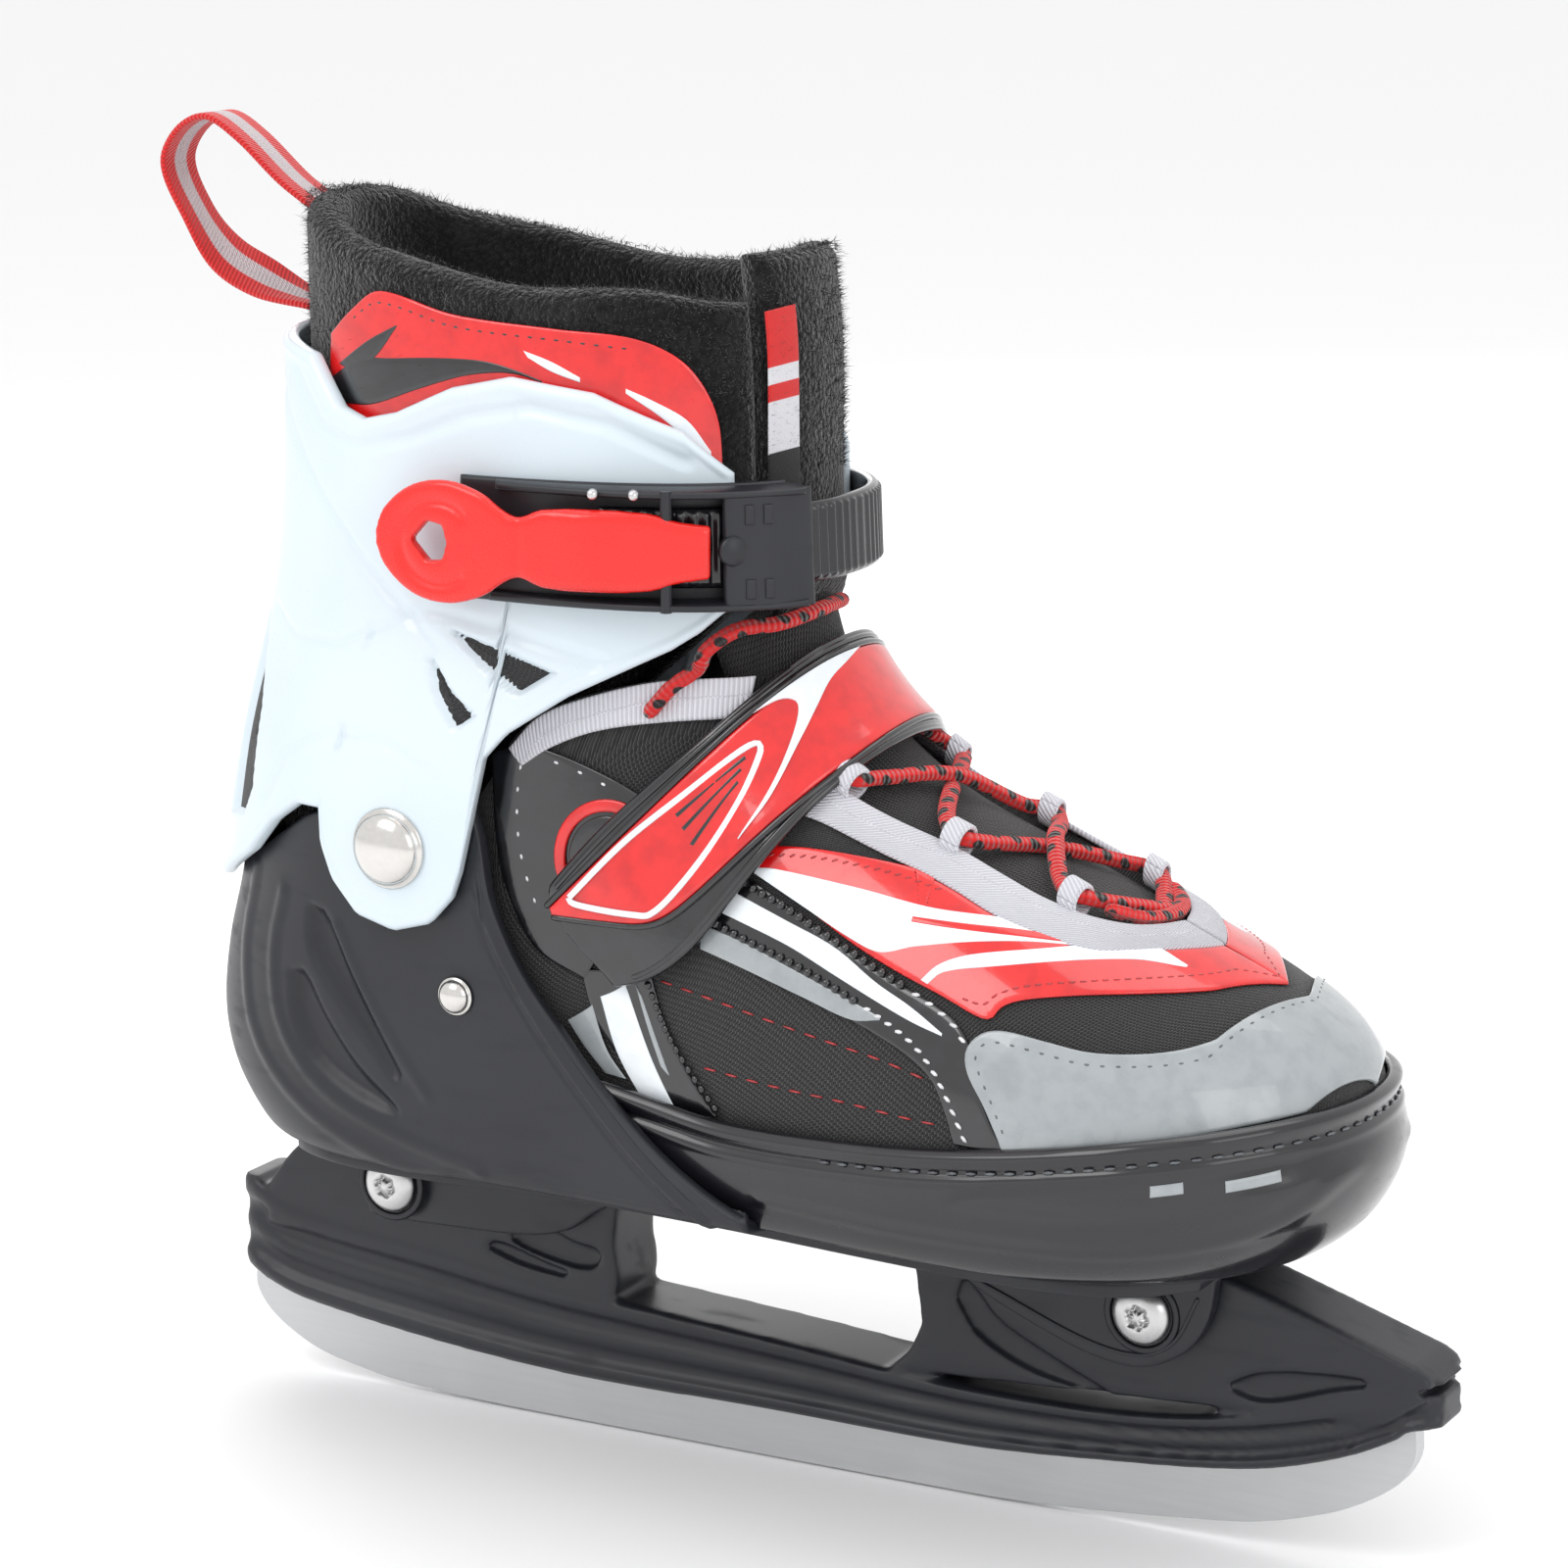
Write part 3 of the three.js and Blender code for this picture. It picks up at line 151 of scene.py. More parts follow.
class Paint:
    """A material. node() adds any node; the shader's constants are set on its own sockets."""

    def __init__(self, name, **constants):
        self.material = bpy.data.materials.new(name)
        self.material.use_nodes = True
        self.tree = self.material.node_tree
        self.shader = self.tree.nodes["Principled BSDF"]
        self.feed(self.shader, {key.replace("_", " ").title().replace("Ior", "IOR"): value
                                for key, value in constants.items()})

    def feed(self, made, inputs):
        for key, value in inputs.items():
            if isinstance(value, Wire):
                self.tree.links.new(value.socket, made.inputs[key])
            elif isinstance(value, tuple) and len(value) == 3 and made.inputs[key].type == "RGBA":
                made.inputs[key].default_value = (*value, 1)
            else:
                made.inputs[key].default_value = value

    def node(self, kind, settings=None, inputs=None, output=0):
        made = self.tree.nodes.new(kind)
        for key, value in (settings or {}).items():
            setattr(made, key, value)
        self.feed(made, inputs or {})
        return Wire(self, made.outputs[output])

    def mix(self, factor, first, second):
        return self.node("ShaderNodeMix", {"data_type": "RGBA"}, {0: factor, 6: first, 7: second}, 2)

    def noise(self, scale, stretch=(1, 1, 1), detail=2.0, source="Object"):
        """Noise from 0 to 1; scale is in features per metre on Object and per centimetre on UV."""
        at = self.node("ShaderNodeTexCoord", output={"Object": OBJECT_OUTPUT, "UV": UV_OUTPUT}[source])
        turned = self.node("ShaderNodeMapping", inputs={"Vector": at, "Scale": stretch})
        return self.node("ShaderNodeTexNoise", inputs={"Vector": turned, "Scale": scale, "Detail": detail})

    def thread(self):
        """The two UV distances along a surface, in centimetres."""
        at = self.node("ShaderNodeTexCoord", output=UV_OUTPUT)
        return (self.node("ShaderNodeSeparateXYZ", inputs={0: at}, output=0),
                self.node("ShaderNodeSeparateXYZ", inputs={0: at}, output=1))

    def finish(self, color, roughness, height, depth, strength):
        bump = self.node("ShaderNodeBump", inputs={"Height": height, "Distance": depth, "Strength": strength})
        self.feed(self.shader, {"Base Color": color, "Roughness": roughness, "Normal": bump})
        return self.material


def plastic(name, color, shade, roughness, grain=0.25, coat=0.0):
    """Moulded plastic: a fine spark-eroded grain, slow colour drift and handling scuffs in the gloss."""
    paint = Paint(name, coat_weight=coat, coat_roughness=0.08)
    fine = paint.noise(2600, detail=3)
    slow = paint.noise(28)
    scuff = paint.noise(160, (0.4, 1, 1.6), detail=6).above(0.62, 0.1)
    return paint.finish(paint.mix(slow.above(0.5, 0.25), color, shade), roughness + fine * 0.1 + scuff * 0.12,
                        fine + slow * 2, 0.00004, grain)


def metal(name, color, roughness, stretch, scale, bump):
    """Metal with a directional grain: noise stretched along the way it was ground."""
    paint = Paint(name, metallic=1.0)
    grain = paint.noise(scale, stretch, detail=6)
    cloud = paint.noise(45)
    dark = tuple(c * 0.78 for c in color)
    return paint.finish(paint.mix(grain * 0.6 + cloud * 0.4, dark, color), roughness + grain * 0.14 + cloud * 0.06,
                        grain, 0.00003, bump)


def patent(name, color, shade, roughness=0.1):
    """Lacquered synthetic leather: soft wrinkles under a clear coat."""
    paint = Paint(name, coat_weight=0.8, coat_roughness=0.05, roughness=0.3)
    wrinkle = paint.noise(230, detail=4)
    return paint.finish(paint.mix(wrinkle.above(0.55, 0.2), color, shade), roughness + wrinkle * 0.12,
                        wrinkle + paint.noise(900) * 0.3, 0.00025, 0.35)


def knit(name, color, hole, pitch=0.14):
    """Spacer knit: rows of open cells, half a cell apart from row to row, as products of sines."""
    paint = Paint(name, sheen_weight=0.25, sheen_roughness=0.5)
    along, across = paint.thread()
    turns = 2 * np.pi / pitch
    cells = (along * turns + across * (turns * 0.5)).sine() * (across * turns).sine()
    mask = cells.above(0.05, 0.3)
    fuzz = paint.noise(1800, detail=4)
    return paint.finish(paint.mix(mask, hole, color), 0.75 + fuzz * 0.2, mask + fuzz * 0.5, 0.0005, 0.9)


def pile(name, color, light):
    """Plush: a dense short pile that lies this way and that."""
    paint = Paint(name, sheen_weight=0.45, sheen_roughness=0.4, specular_ior_level=0.15)
    tuft = paint.noise(900, detail=5)
    lay = paint.noise(90)
    return paint.finish(paint.mix((tuft * 0.6 + lay * 0.4).above(0.52, 0.14), color, light), 0.9 + tuft * 0.1,
                        tuft + lay, 0.0014, 1.0)


def tape(name, color, stripe, wide, edge, fleck=None):
    """Woven tape: ribs across it, and a herringbone stripe down its middle."""
    paint = Paint(name, sheen_weight=0.3, sheen_roughness=0.5)
    along, across = paint.thread()
    middle = (across - wide / 2).size()
    ribs = (along * 62.0 + (across * 40.0).size()).sine()
    slant = (along * 70.0 + middle * 120.0).sine()
    worn = paint.noise(30, detail=4, source="UV") * 0.3
    inside = 1 - (middle + slant * 0.012).above(edge, 0.02)
    body = paint.mix(ribs.above(0.0, 0.9) * 0.6 + worn, color, tuple(c * 0.62 for c in color))
    band = paint.mix(slant.above(0.1, 0.5), stripe, fleck or tuple(c * 0.68 for c in stripe))
    return paint.finish(paint.mix(inside, body, band), 0.85, ribs * 0.5 + slant * inside * 0.5, 0.0003, 0.8)


def braid(name, color, fleck):
    """Round lace: two crossing sets of strands, with dark flecks every few picks."""
    paint = Paint(name, sheen_weight=0.3)
    along, around = paint.thread()
    strands = (along * 26.0 + around * 12.0).sine() * (along * 26.0 - around * 12.0).sine()
    picks = ((along * 8.5 + around * 6.0).sine() * (along * 5.3 - around * 5.0).sine()).above(0.42, 0.12)
    return paint.finish(paint.mix(picks, color, fleck), 0.8 + strands * 0.1, strands, 0.0005, 1.0)


def label_cloth(name, red, white, black):
    """The tongue's woven label: bands of red and white across it, then plain black below."""
    paint = Paint(name, sheen_weight=0.2)
    down, across = paint.thread()
    weave = (down * 130.0).sine() * (across * 130.0).sine()
    first, second, third, last = (down.above(edge, 0.012) for edge in LABEL_BANDS)
    ground = paint.mix((1 - first) + second - third, white, red)
    return paint.finish(paint.mix(last, ground, black), 0.7, weave, 0.0002, 0.6)


LABEL_BANDS = (1.15, 1.5, 1.85, 2.9)
RED, DEEP_RED = (0.74, 0.008, 0.008), (0.60, 0.004, 0.006)
WHITE, SHADE_WHITE = (0.80, 0.84, 0.87), (0.72, 0.78, 0.83)
BLACK, NIGHT = (0.006, 0.006, 0.007), (0.010, 0.011, 0.014)
# Each finish has the record's slot that it stands for, its maker, and what the maker is given.
FINISHES = {
    "satin_black": ("black_plastic", plastic, (0.0105, 0.0115, 0.0155), (0.014, 0.0155, 0.020), 0.36),
    "gloss_black": ("black_plastic", plastic, (0.006, 0.006, 0.008), (0.009, 0.009, 0.012), 0.16, 0.1, 0.5),
    "cuff_white": ("white_plastic", plastic, (0.66, 0.745, 0.80), (0.63, 0.72, 0.78), 0.24, 0.12, 0.3),
    "lever_red": ("red_plastic", plastic, (0.80, 0.014, 0.008), (0.72, 0.010, 0.007), 0.22, 0.12, 0.3),
    "runner_steel": ("steel_runner", metal, (0.66, 0.67, 0.68), 0.36, (0.12, 1, 2.2), 420, 0.35),
    "chrome": ("bright_steel", metal, (0.78, 0.76, 0.73), 0.07, (1, 1, 1), 900, 0.06),
    "zinc": ("zinc_bolt", metal, (0.70, 0.70, 0.70), 0.2, (1, 1, 1), 1500, 0.2),
    "black_knit": ("black_mesh", knit, (0.013, 0.013, 0.014), (0.003, 0.003, 0.003)),
    "ribbed_knit": ("black_mesh", knit, (0.016, 0.016, 0.018), (0.003, 0.003, 0.004), 0.22),
    "black_pile": ("black_plush", pile, (0.0045, 0.0045, 0.005), (0.018, 0.018, 0.019)),
    "black_patent": ("black_patent", patent, BLACK, NIGHT),
    "red_patent": ("red_patent", patent, RED, DEEP_RED, 0.14),
    "silver_patent": ("silver_patent", patent, (0.330, 0.356, 0.370), (0.277, 0.304, 0.317), 0.2),
    "white_print": ("white_webbing", patent, WHITE, SHADE_WHITE, 0.2),
    "white_tape": ("white_webbing", tape, (0.74, 0.74, 0.80), (0.76, 0.76, 0.82), 0.8, 0.02),
    "loop_tape": ("red_webbing", tape, (0.72, 0.010, 0.010), (0.80, 0.68, 0.70), 1.2, 0.22, (0.44, 0.40, 0.42)),
    "red_lace": ("red_webbing", braid, (0.72, 0.009, 0.009), (0.01, 0.004, 0.004)),
    "white_thread": ("white_webbing", patent, (0.75, 0.76, 0.78), (0.6, 0.6, 0.62), 0.5),
    "grey_thread": ("silver_patent", patent, (0.10, 0.11, 0.12), (0.05, 0.05, 0.06), 0.4),
    "red_thread": ("red_patent", patent, (0.42, 0.01, 0.015), (0.3, 0.008, 0.01), 0.5),
    "label_cloth": ("red_webbing", label_cloth, (0.70, 0.012, 0.012), (0.76, 0.76, 0.80), BLACK),
}
finishes = {name: maker(name, *values) for name, (_slot, maker, *values) in FINISHES.items()}


# ------------------------------------------------------------------ curves and forms
def through(pairs):
    """A smooth curve through (at, value) pairs: cubic Hermite, level with its ends outside them."""
    at, value = np.array(pairs, float).T
    ahead, behind = np.append(np.arange(1, len(at)), len(at) - 1), np.maximum(np.arange(len(at)) - 1, 0)
    slope = (value[ahead] - value[behind]) / (at[ahead] - at[behind])

    def read(x):
        x = np.clip(np.asarray(x, float), at[0], at[-1])
        i = np.clip(np.searchsorted(at, x, side="right") - 1, 0, len(at) - 2)
        h = at[i + 1] - at[i]
        t = (x - at[i]) / h
        return ((2 * t**3 - 3 * t**2 + 1) * value[i] + (t**3 - 2 * t**2 + t) * h * slope[i]
                + (3 * t**2 - 2 * t**3) * value[i + 1] + (t**3 - t**2) * h * slope[i + 1])
    return read


def found(low, high, steps, held):
    """Bisection at every entry: the last place from low to high where held(place) is true."""
    for _ in range(steps):
        middle = (low + high) / 2
        true = held(middle)
        low, high = np.where(true, middle, low), np.where(true, high, middle)
    return low


def read_at(at, given, values):
    """Rows of values, given at the numbers in given, read at the numbers in at."""
    return np.stack([np.interp(at, given, column) for column in np.asarray(values).T], -1)


def power(value, n):
    """value to the power n, with its sign kept."""
    return np.sign(value) * np.abs(value) ** n


def bulge(t, n):
    """Half width of a superellipse at a share t of its reach."""
    return (1 - np.minimum(1, np.abs(t)) ** n) ** (1 / n)


SOLE = 69.3
STATIONS = np.array([
    (131, 80, 131, 98, 4), (129, 74, 130, 103, 13), (125, 70.5, 126, 109, 22), (117, SOLE, 119, 114.5, 31),
    (105, SOLE, 107, 120.5, 39), (90, SOLE, 93, 126.5, 44), (70, SOLE, 75, 135, 46.3), (48, SOLE, 55, 144, 45.3),
    (24, SOLE, 37, 152.5, 42.5), (0, SOLE, 22, 164, 39.5), (-28, SOLE, 13, 176, 36.8), (-62, SOLE, 9.5, 188, 35.5),
    (-98, SOLE, 9, 198, 35.5), (-119, 76, 8.6, 207, 35.6), (-123, 98, 8.4, 216, 35.8), (-121, 124, 8.2, 225, 36),
    (-116, 155, 8, 234, 36.2), (-112, 190, 7.6, 243, 36.4), (-110.5, 225, 6.5, 253, 36.4), (-111, 270, 5, 266, 36.2)])
LAST = len(STATIONS) - 1
sole_x, sole_z, ridge_x, ridge_z, half_wide = (
    through([(i, v) for i, v in enumerate(column)]) for column in STATIONS.T)
widest = through([(0, 0.45), (4, 0.36), (10, 0.4), (14, 0.48), (LAST, 0.48)])
sole_round = through([(0, 2.2), (3, 3), (6, 3.6), (11, 3.4), (14, 2.3), (LAST, 2.2)])
ridge_round = through([(0, 2.2), (8, 2.1), (12, 2.3), (LAST, 2.3)])


def section(s, grow):
    """The low end, high end and half width of the last's section at s, grown outwards."""
    tip = grow * np.maximum(0, 1 - s / 3)
    low = np.stack([sole_x(s) + tip, sole_z(s)], -1)
    high = np.stack([ridge_x(s) + tip, ridge_z(s)], -1)
    along = high - low
    along = along / np.linalg.norm(along, axis=-1, keepdims=True)
    grow = np.asarray(grow, float)[..., None]
    return low - along * grow, high + along * grow, half_wide(s) + grow[..., 0]


def boot(s, turn, grow):
    """The last: fanned superellipse sections from the toe over the instep to the collar."""
    s, turn, grow = np.broadcast_arrays(np.asarray(s, float), np.asarray(turn, float), np.asarray(grow, float))
    low, high, half = section(s, grow)
    c = np.cos(turn)
    m = widest(s)
    share = np.where(c > 0, m + (1 - m) * np.abs(c) ** (2 / ridge_round(s)), m - m * np.abs(c) ** (2 / sole_round(s)))
    n = np.where(c > 0, ridge_round(s), sole_round(s))
    flat = low + (high - low) * share[..., None]
    return np.stack([flat[..., 0], half * power(np.sin(turn), 2 / n), flat[..., 1]], -1)


def from_side(x, z, grow=0.0):
    """The (s, turn) of the place on the outer side of the last that is seen at (x, z)."""
    x, z = np.asarray(x, float), np.asarray(z, float)

    def ahead(s):
        low, high, _half = section(s, np.full_like(s, grow))
        line = high - low
        return line[..., 0] * (z - low[..., 1]) > line[..., 1] * (x - low[..., 0])
    s = found(np.zeros_like(x), np.full_like(x, LAST), 26, ahead)
    low, high, _half = section(s, np.full_like(s, grow))
    line = high - low
    share = ((x - low[..., 0]) * line[..., 0] + (z - low[..., 1]) * line[..., 1]) / (line**2).sum(-1)
    m = widest(s)
    c = np.where(share > m, np.clip((share - m) / (1 - m), 0, 1) ** (ridge_round(s) / 2),
                 -np.clip((m - share) / m, 0, 1) ** (sole_round(s) / 2))
    return s, np.arccos(c)


def boot_side(x, z, grow=0.0):
    """Half width of the last where a line across the skate at (x, z) meets it."""
    s, turn = from_side(x, z, grow)
    return np.abs(boot(s, turn, grow)[..., 1])


def from_top(x, y):
    """The (s, turn) of the place on top of the last that is seen from above at (x, y)."""
    x = np.asarray(x, float)
    z = found(np.full_like(x, 60), np.full_like(x, 262), 24, lambda z: boot_side(x, z) > np.abs(y))
    s, turn = from_side(x, z)
    return s, np.sign(y) * turn


def lengths(places, axis):
    """Distance along each line of a grid from its start."""
    step = np.linalg.norm(np.diff(places, axis=axis), axis=-1)
    start = np.zeros_like(np.take(step, [0], axis))
    return np.concatenate([start, np.cumsum(step, axis=axis)], axis)


def smooth_line(points, count=64, sharp=False):
    """Even places along the smooth curve, or with sharp the straight runs, through points."""
    points = np.array(points, float)
    chord = lengths(points, 0)
    fine = np.linspace(0, chord[-1], 10 * count)
    if sharp:
        curve = read_at(fine, chord, points)
    else:
        curve = np.stack([through(list(zip(chord, column)))(fine) for column in points.T], -1)
    length = lengths(curve, 0)
    return read_at(np.linspace(0, length[-1], count), length, curve)


def side_line(points, count=64):
    """A line on the last, as (s, turn), from its (x, z) points in the side view."""
    return np.stack(from_side(*smooth_line(points, count).T), -1)


def between(first, second, side=1, place=boot):
    """A surface between two lines of (s, turn): u runs along them and v from the first to the second."""
    count = np.arange(len(first))

    def surface(u, v, grow):
        at = np.clip(u, 0, 1) * (len(first) - 1)
        one, other = read_at(at, count, first), read_at(at, count, second)
        s, turn = (one[..., i] * (1 - v) + other[..., i] * v for i in (0, 1))
        return place(s, side * turn, grow)
    return surface


def near(x, z, line):
    """Distance in the side view from (x, z) to a line of points."""
    best = np.full(np.shape(x), 1e9)
    for (ax, az), (bx, bz) in zip(line, line[1:]):
        share = np.clip(((x - ax) * (bx - ax) + (z - az) * (bz - az)) / ((bx - ax) ** 2 + (bz - az) ** 2), 0, 1)
        best = np.minimum(best, np.hypot(x - ax - share * (bx - ax), z - az - share * (bz - az)))
    return best


def swell(distance, wide):
    """A soft rib: 1 on its line, 0 from wide on."""
    return np.cos(np.clip(distance / wide, 0, 1) * np.pi) * 0.5 + 0.5


def lifted(form, flip=1):
    """form(u, v) with a third value: the height above it along its normal."""
    def surface(u, v, grow):
        step = 1e-4
        across = form(u + step, v) - form(u - step, v)
        up = form(u, v + step) - form(u, v - step)
        normal = np.cross(up, across) * flip
        normal /= np.maximum(np.linalg.norm(normal, axis=-1, keepdims=True), 1e-12)
        return form(u, v) + normal * np.asarray(grow)[..., None]
    return surface


# Plans of the moulded shells. The toe shell's u runs from the outer rear round the tip to the inner rear, the
# heel shell's from the outer front round the heel to the inner front.
boot_plan = through([(-120, 34), (-62, 35.5), (-28, 36.8), (0, 39.5), (24, 42.5), (48, 45.3), (70, 46.3), (134, 46)])
TOE_GAP, HEEL_GAP = 2.7, 6.1
toe_tip = through([(60, 108), (63, 114), (66, 122), (73, 130), (85, 135), (95, 133.5), (106, 131)])
toe_tuck = through([(60, 0.7), (62, 0.8), (64, 0.88), (68, 0.94), (75, 0.98), (85, 1), (106, 0.985)])
heel_rear = through([(58, -117), (66, -124), (78, -131), (90, -133.5), (105, -132), (119, -128.5), (135, -125.5),
                     (160, -121.5)])
heel_tuck = through([(58, 0.84), (62, 0.91), (66, 0.96), (72, 0.99), (80, 1), (160, 1)])


def toe(u, z):
    """The toe shell's outer skin: a plan that follows the last, rounded off at its tip and tucked in below."""
    side = 2 * u - 1
    tip = toe_tip(z)
    x = tip + (-46 - tip) * side**2
    round_off = bulge(np.maximum(0, 1 - (tip - x) / 52), 2.1)
    return np.stack([x, np.sign(side) * (boot_plan(x) + TOE_GAP) * toe_tuck(z) * round_off, z + 0 * x], -1)


def heel(u, z):
    """The heel shell's outer skin: a plan that follows the last, rounded off at the heel."""
    side = 2 * u - 1
    rear = heel_rear(z)
    x = rear + (14 - rear) * side**2
    round_off = bulge(np.maximum(0, 1 - (x - rear) / 50), 2.3)
    return np.stack([x, np.sign(side) * (boot_plan(x) + HEEL_GAP) * heel_tuck(z) * round_off, z + 0 * x], -1)


cuff_rear = through([(108, -133.6), (119, -132.6), (135, -129.6), (155, -125.5), (181, -119.5), (207, -116),
                     (242, -114.8)])
cuff_front = through([(108, 24), (155, 20), (181, 14), (207, 12), (242, 11)])
cuff_mid = through([(108, -76), (136, -72), (181, -60), (242, -54)])
CUFF_ROUND = 2.3
PIVOT = (-69.0, 136.0)
STUD = (-56.0, 105.0)
pivot_side = float(boot_plan(PIVOT[0] + 20)) + HEEL_GAP + RUN + 3.6
cuff_half = through([(108, pivot_side), (136, pivot_side), (155, pivot_side - 0.3), (181, 42), (207, 41.4),
                     (242, 41.3)])


def cuff(turn, z, grow=0.0):
    """The cuff: a superellipse round the ankle at each height. turn 0 is its front, and negative the outer side."""
    mid = cuff_mid(z)
    c, s = np.cos(turn), np.sin(turn)
    reach = np.where(c > 0, cuff_front(z) - mid, mid - cuff_rear(z)) + grow
    return np.stack([mid + reach * power(c, 2 / CUFF_ROUND), (cuff_half(z) + grow) * power(s, 2 / CUFF_ROUND),
                     z + 0 * mid * c], -1)


STRAP_X, STRAP_Z, STRAP_TILT = -21, 122, np.radians(49)
strap_wide = through([(0, 25), (30, 26), (70, 32), (110, 32)])


def strap(turn, across, stand):
    """The instep strap's surface: rays in a leaning plane meet the last grown by stand. turn in degrees from the
    top, across in mm from the middle line towards the toe."""
    turn, across, stand = np.broadcast_arrays(*(np.asarray(value, float) for value in (turn, across, stand)))
    a = np.radians(turn)

    def ray(r):
        return (STRAP_X + np.sin(STRAP_TILT) * across + np.cos(STRAP_TILT) * r * np.cos(a), r * np.sin(a),
                STRAP_Z - np.cos(STRAP_TILT) * across + np.sin(STRAP_TILT) * r * np.cos(a))

    def inside_last(r):
        x, y, z = ray(r)
        return np.abs(y) < boot_side(x, z, stand)
    return np.stack(ray(found(np.zeros(turn.shape), np.full(turn.shape, 120.0), 18, inside_last)), -1)


# ------------------------------------------------------------------ making meshes
def quads(rows, columns, ring=False):
    """The faces of a grid of rows x columns places; ring joins its last column to its first."""
    r, c = np.meshgrid(np.arange(rows - 1), np.arange(columns if ring else columns - 1), indexing="ij")
    after = (c + 1) % columns
    return np.stack([r * columns + c, r * columns + after, (r + 1) * columns + after, (r + 1) * columns + c],
                    -1).reshape(-1, 4)


def outward(places, faces):
    """The faces turned so that the closed form they make has its outside outside."""
    a, b, c = (places[faces[:, i]] for i in range(3))
    d = places[faces[:, -1]]
    volume = (a * np.cross(b, c)).sum() + (a * np.cross(c, d)).sum()
    return faces if volume > 0 else faces[:, ::-1]


def spread(length, cell, rounding):
    """Shares 0 to 1 of a length, about a cell apart and closer within its rounded edges."""
    edge = np.array([0, 0.04, 0.15, 0.35, 0.65, 1.0]) * rounding / max(length, 1e-6)
    edge = edge[edge < 0.45]
    middle = np.linspace(edge[-1], 1 - edge[-1], max(2, int(length / cell)) + 1)[1:-1]
    return np.concatenate([edge, middle, 1 - edge[::-1]])


def slab(surface, low, high, rounding, cell=1.5, relief=None):
    """A closed layer on surface(u, v, grow) from low to high above it. Its two faces part from the middle by half
    the thickness times sqrt(1 - (1 - d / rounding)^2), d mm from the edge; relief(places, u, v, d) is added on top."""
    u, v = np.meshgrid(np.linspace(0, 1, 13), np.linspace(0, 1, 13), indexing="ij")
    middle = (low + high) / 2
    coarse = surface(u, v, middle)
    u, v = np.meshgrid(spread(lengths(coarse, 0)[-1].max(), cell, rounding),
                       spread(lengths(coarse, 1)[:, -1].max(), cell, rounding), indexing="ij")
    flat = surface(u, v, middle)
    along, across = lengths(flat, 0), lengths(flat, 1)
    edge = np.minimum(np.minimum(along, along[-1:] - along), np.minimum(across, across[:, -1:] - across))
    part = np.sqrt(1 - (1 - np.minimum(edge / rounding, 1)) ** 2) * (high - low) / 2
    extra = relief(flat, u, v, edge) * np.minimum(edge / rounding, 1) if relief else 0
    top, bottom = surface(u, v, middle + part + extra), surface(u, v, middle - part)
    rows, columns = u.shape
    upper = np.arange(rows * columns).reshape(rows, columns)
    lower = upper + rows * columns
    lower[[0, -1]] = upper[[0, -1]]
    lower[:, [0, -1]] = upper[:, [0, -1]]
    faces = quads(rows, columns)
    faces = np.concatenate([faces, lower.ravel()[faces][:, ::-1]])
    places = np.concatenate([top.reshape(-1, 3), bottom.reshape(-1, 3)])
    uv = np.stack([along, across], -1).reshape(-1, 2) / 10
    used, faces = np.unique(faces, return_inverse=True)
    faces = faces.reshape(-1, 4)
    places = places[used]
    return places, outward(places, faces), np.tile(uv, (2, 1))[used]


def joined(parts):
    """Several (places, faces, uv) as one."""
    start = np.cumsum([0] + [len(part[0]) for part in parts[:-1]])
    return (np.concatenate([part[0] for part in parts]),
            np.concatenate([part[1] + offset for part, offset in zip(parts, start)]),
            np.concatenate([part[2] for part in parts]))


def tube(path, radius, sides=12, flat=1.0):
    """A round or flattened tube along a path of places, with closed, rounded ends. radius may change along it."""
    path = np.asarray(path, float)
    radius = np.broadcast_to(np.asarray(radius, float), len(path)).copy()
    tangent = np.gradient(path, axis=0)
    tangent /= np.linalg.norm(tangent, axis=1, keepdims=True)
    side = np.cross(tangent, (0.02, 0.03, 1.0))
    side /= np.linalg.norm(side, axis=1, keepdims=True)
    up = np.cross(side, tangent)
    caps = np.array([0.02, 0.6, 0.9])
    ends = [path[0] - tangent[0] * radius[0] * k for k in (1.0, 0.8, 0.4)]
    tips = [path[-1] + tangent[-1] * radius[-1] * k for k in (0.4, 0.8, 1.0)]
    path = np.concatenate([ends, path, tips])
    radius = np.concatenate([caps * radius[0], radius, caps[::-1] * radius[-1]])
    side, up = (np.concatenate([[a[0]] * 3, a, [a[-1]] * 3]) for a in (side, up))
    turn = np.linspace(0, 2 * np.pi, sides, endpoint=False)
    rings = path[:, None] + radius[:, None, None] * (side[:, None] * np.cos(turn)[None, :, None]
                                                     + up[:, None] * np.sin(turn)[None, :, None] * flat)
    faces = quads(len(path), sides, ring=True)
    run = lengths(rings, 0)[:, :1] + 0 * turn
    uv = np.stack([run, turn[None] * radius.max() + 0 * run], -1).reshape(-1, 2) / 10
    places = rings.reshape(-1, 3)
    fan = np.arange(1, sides - 2, 2)
    lids = np.concatenate([np.stack([0 * fan, fan, fan + 1, fan + 2], -1) + base
                           for base in (0, (len(path) - 1) * sides)])
    lids[:len(fan)] = lids[:len(fan), ::-1]
    return places, outward(places, np.concatenate([faces, lids])), uv


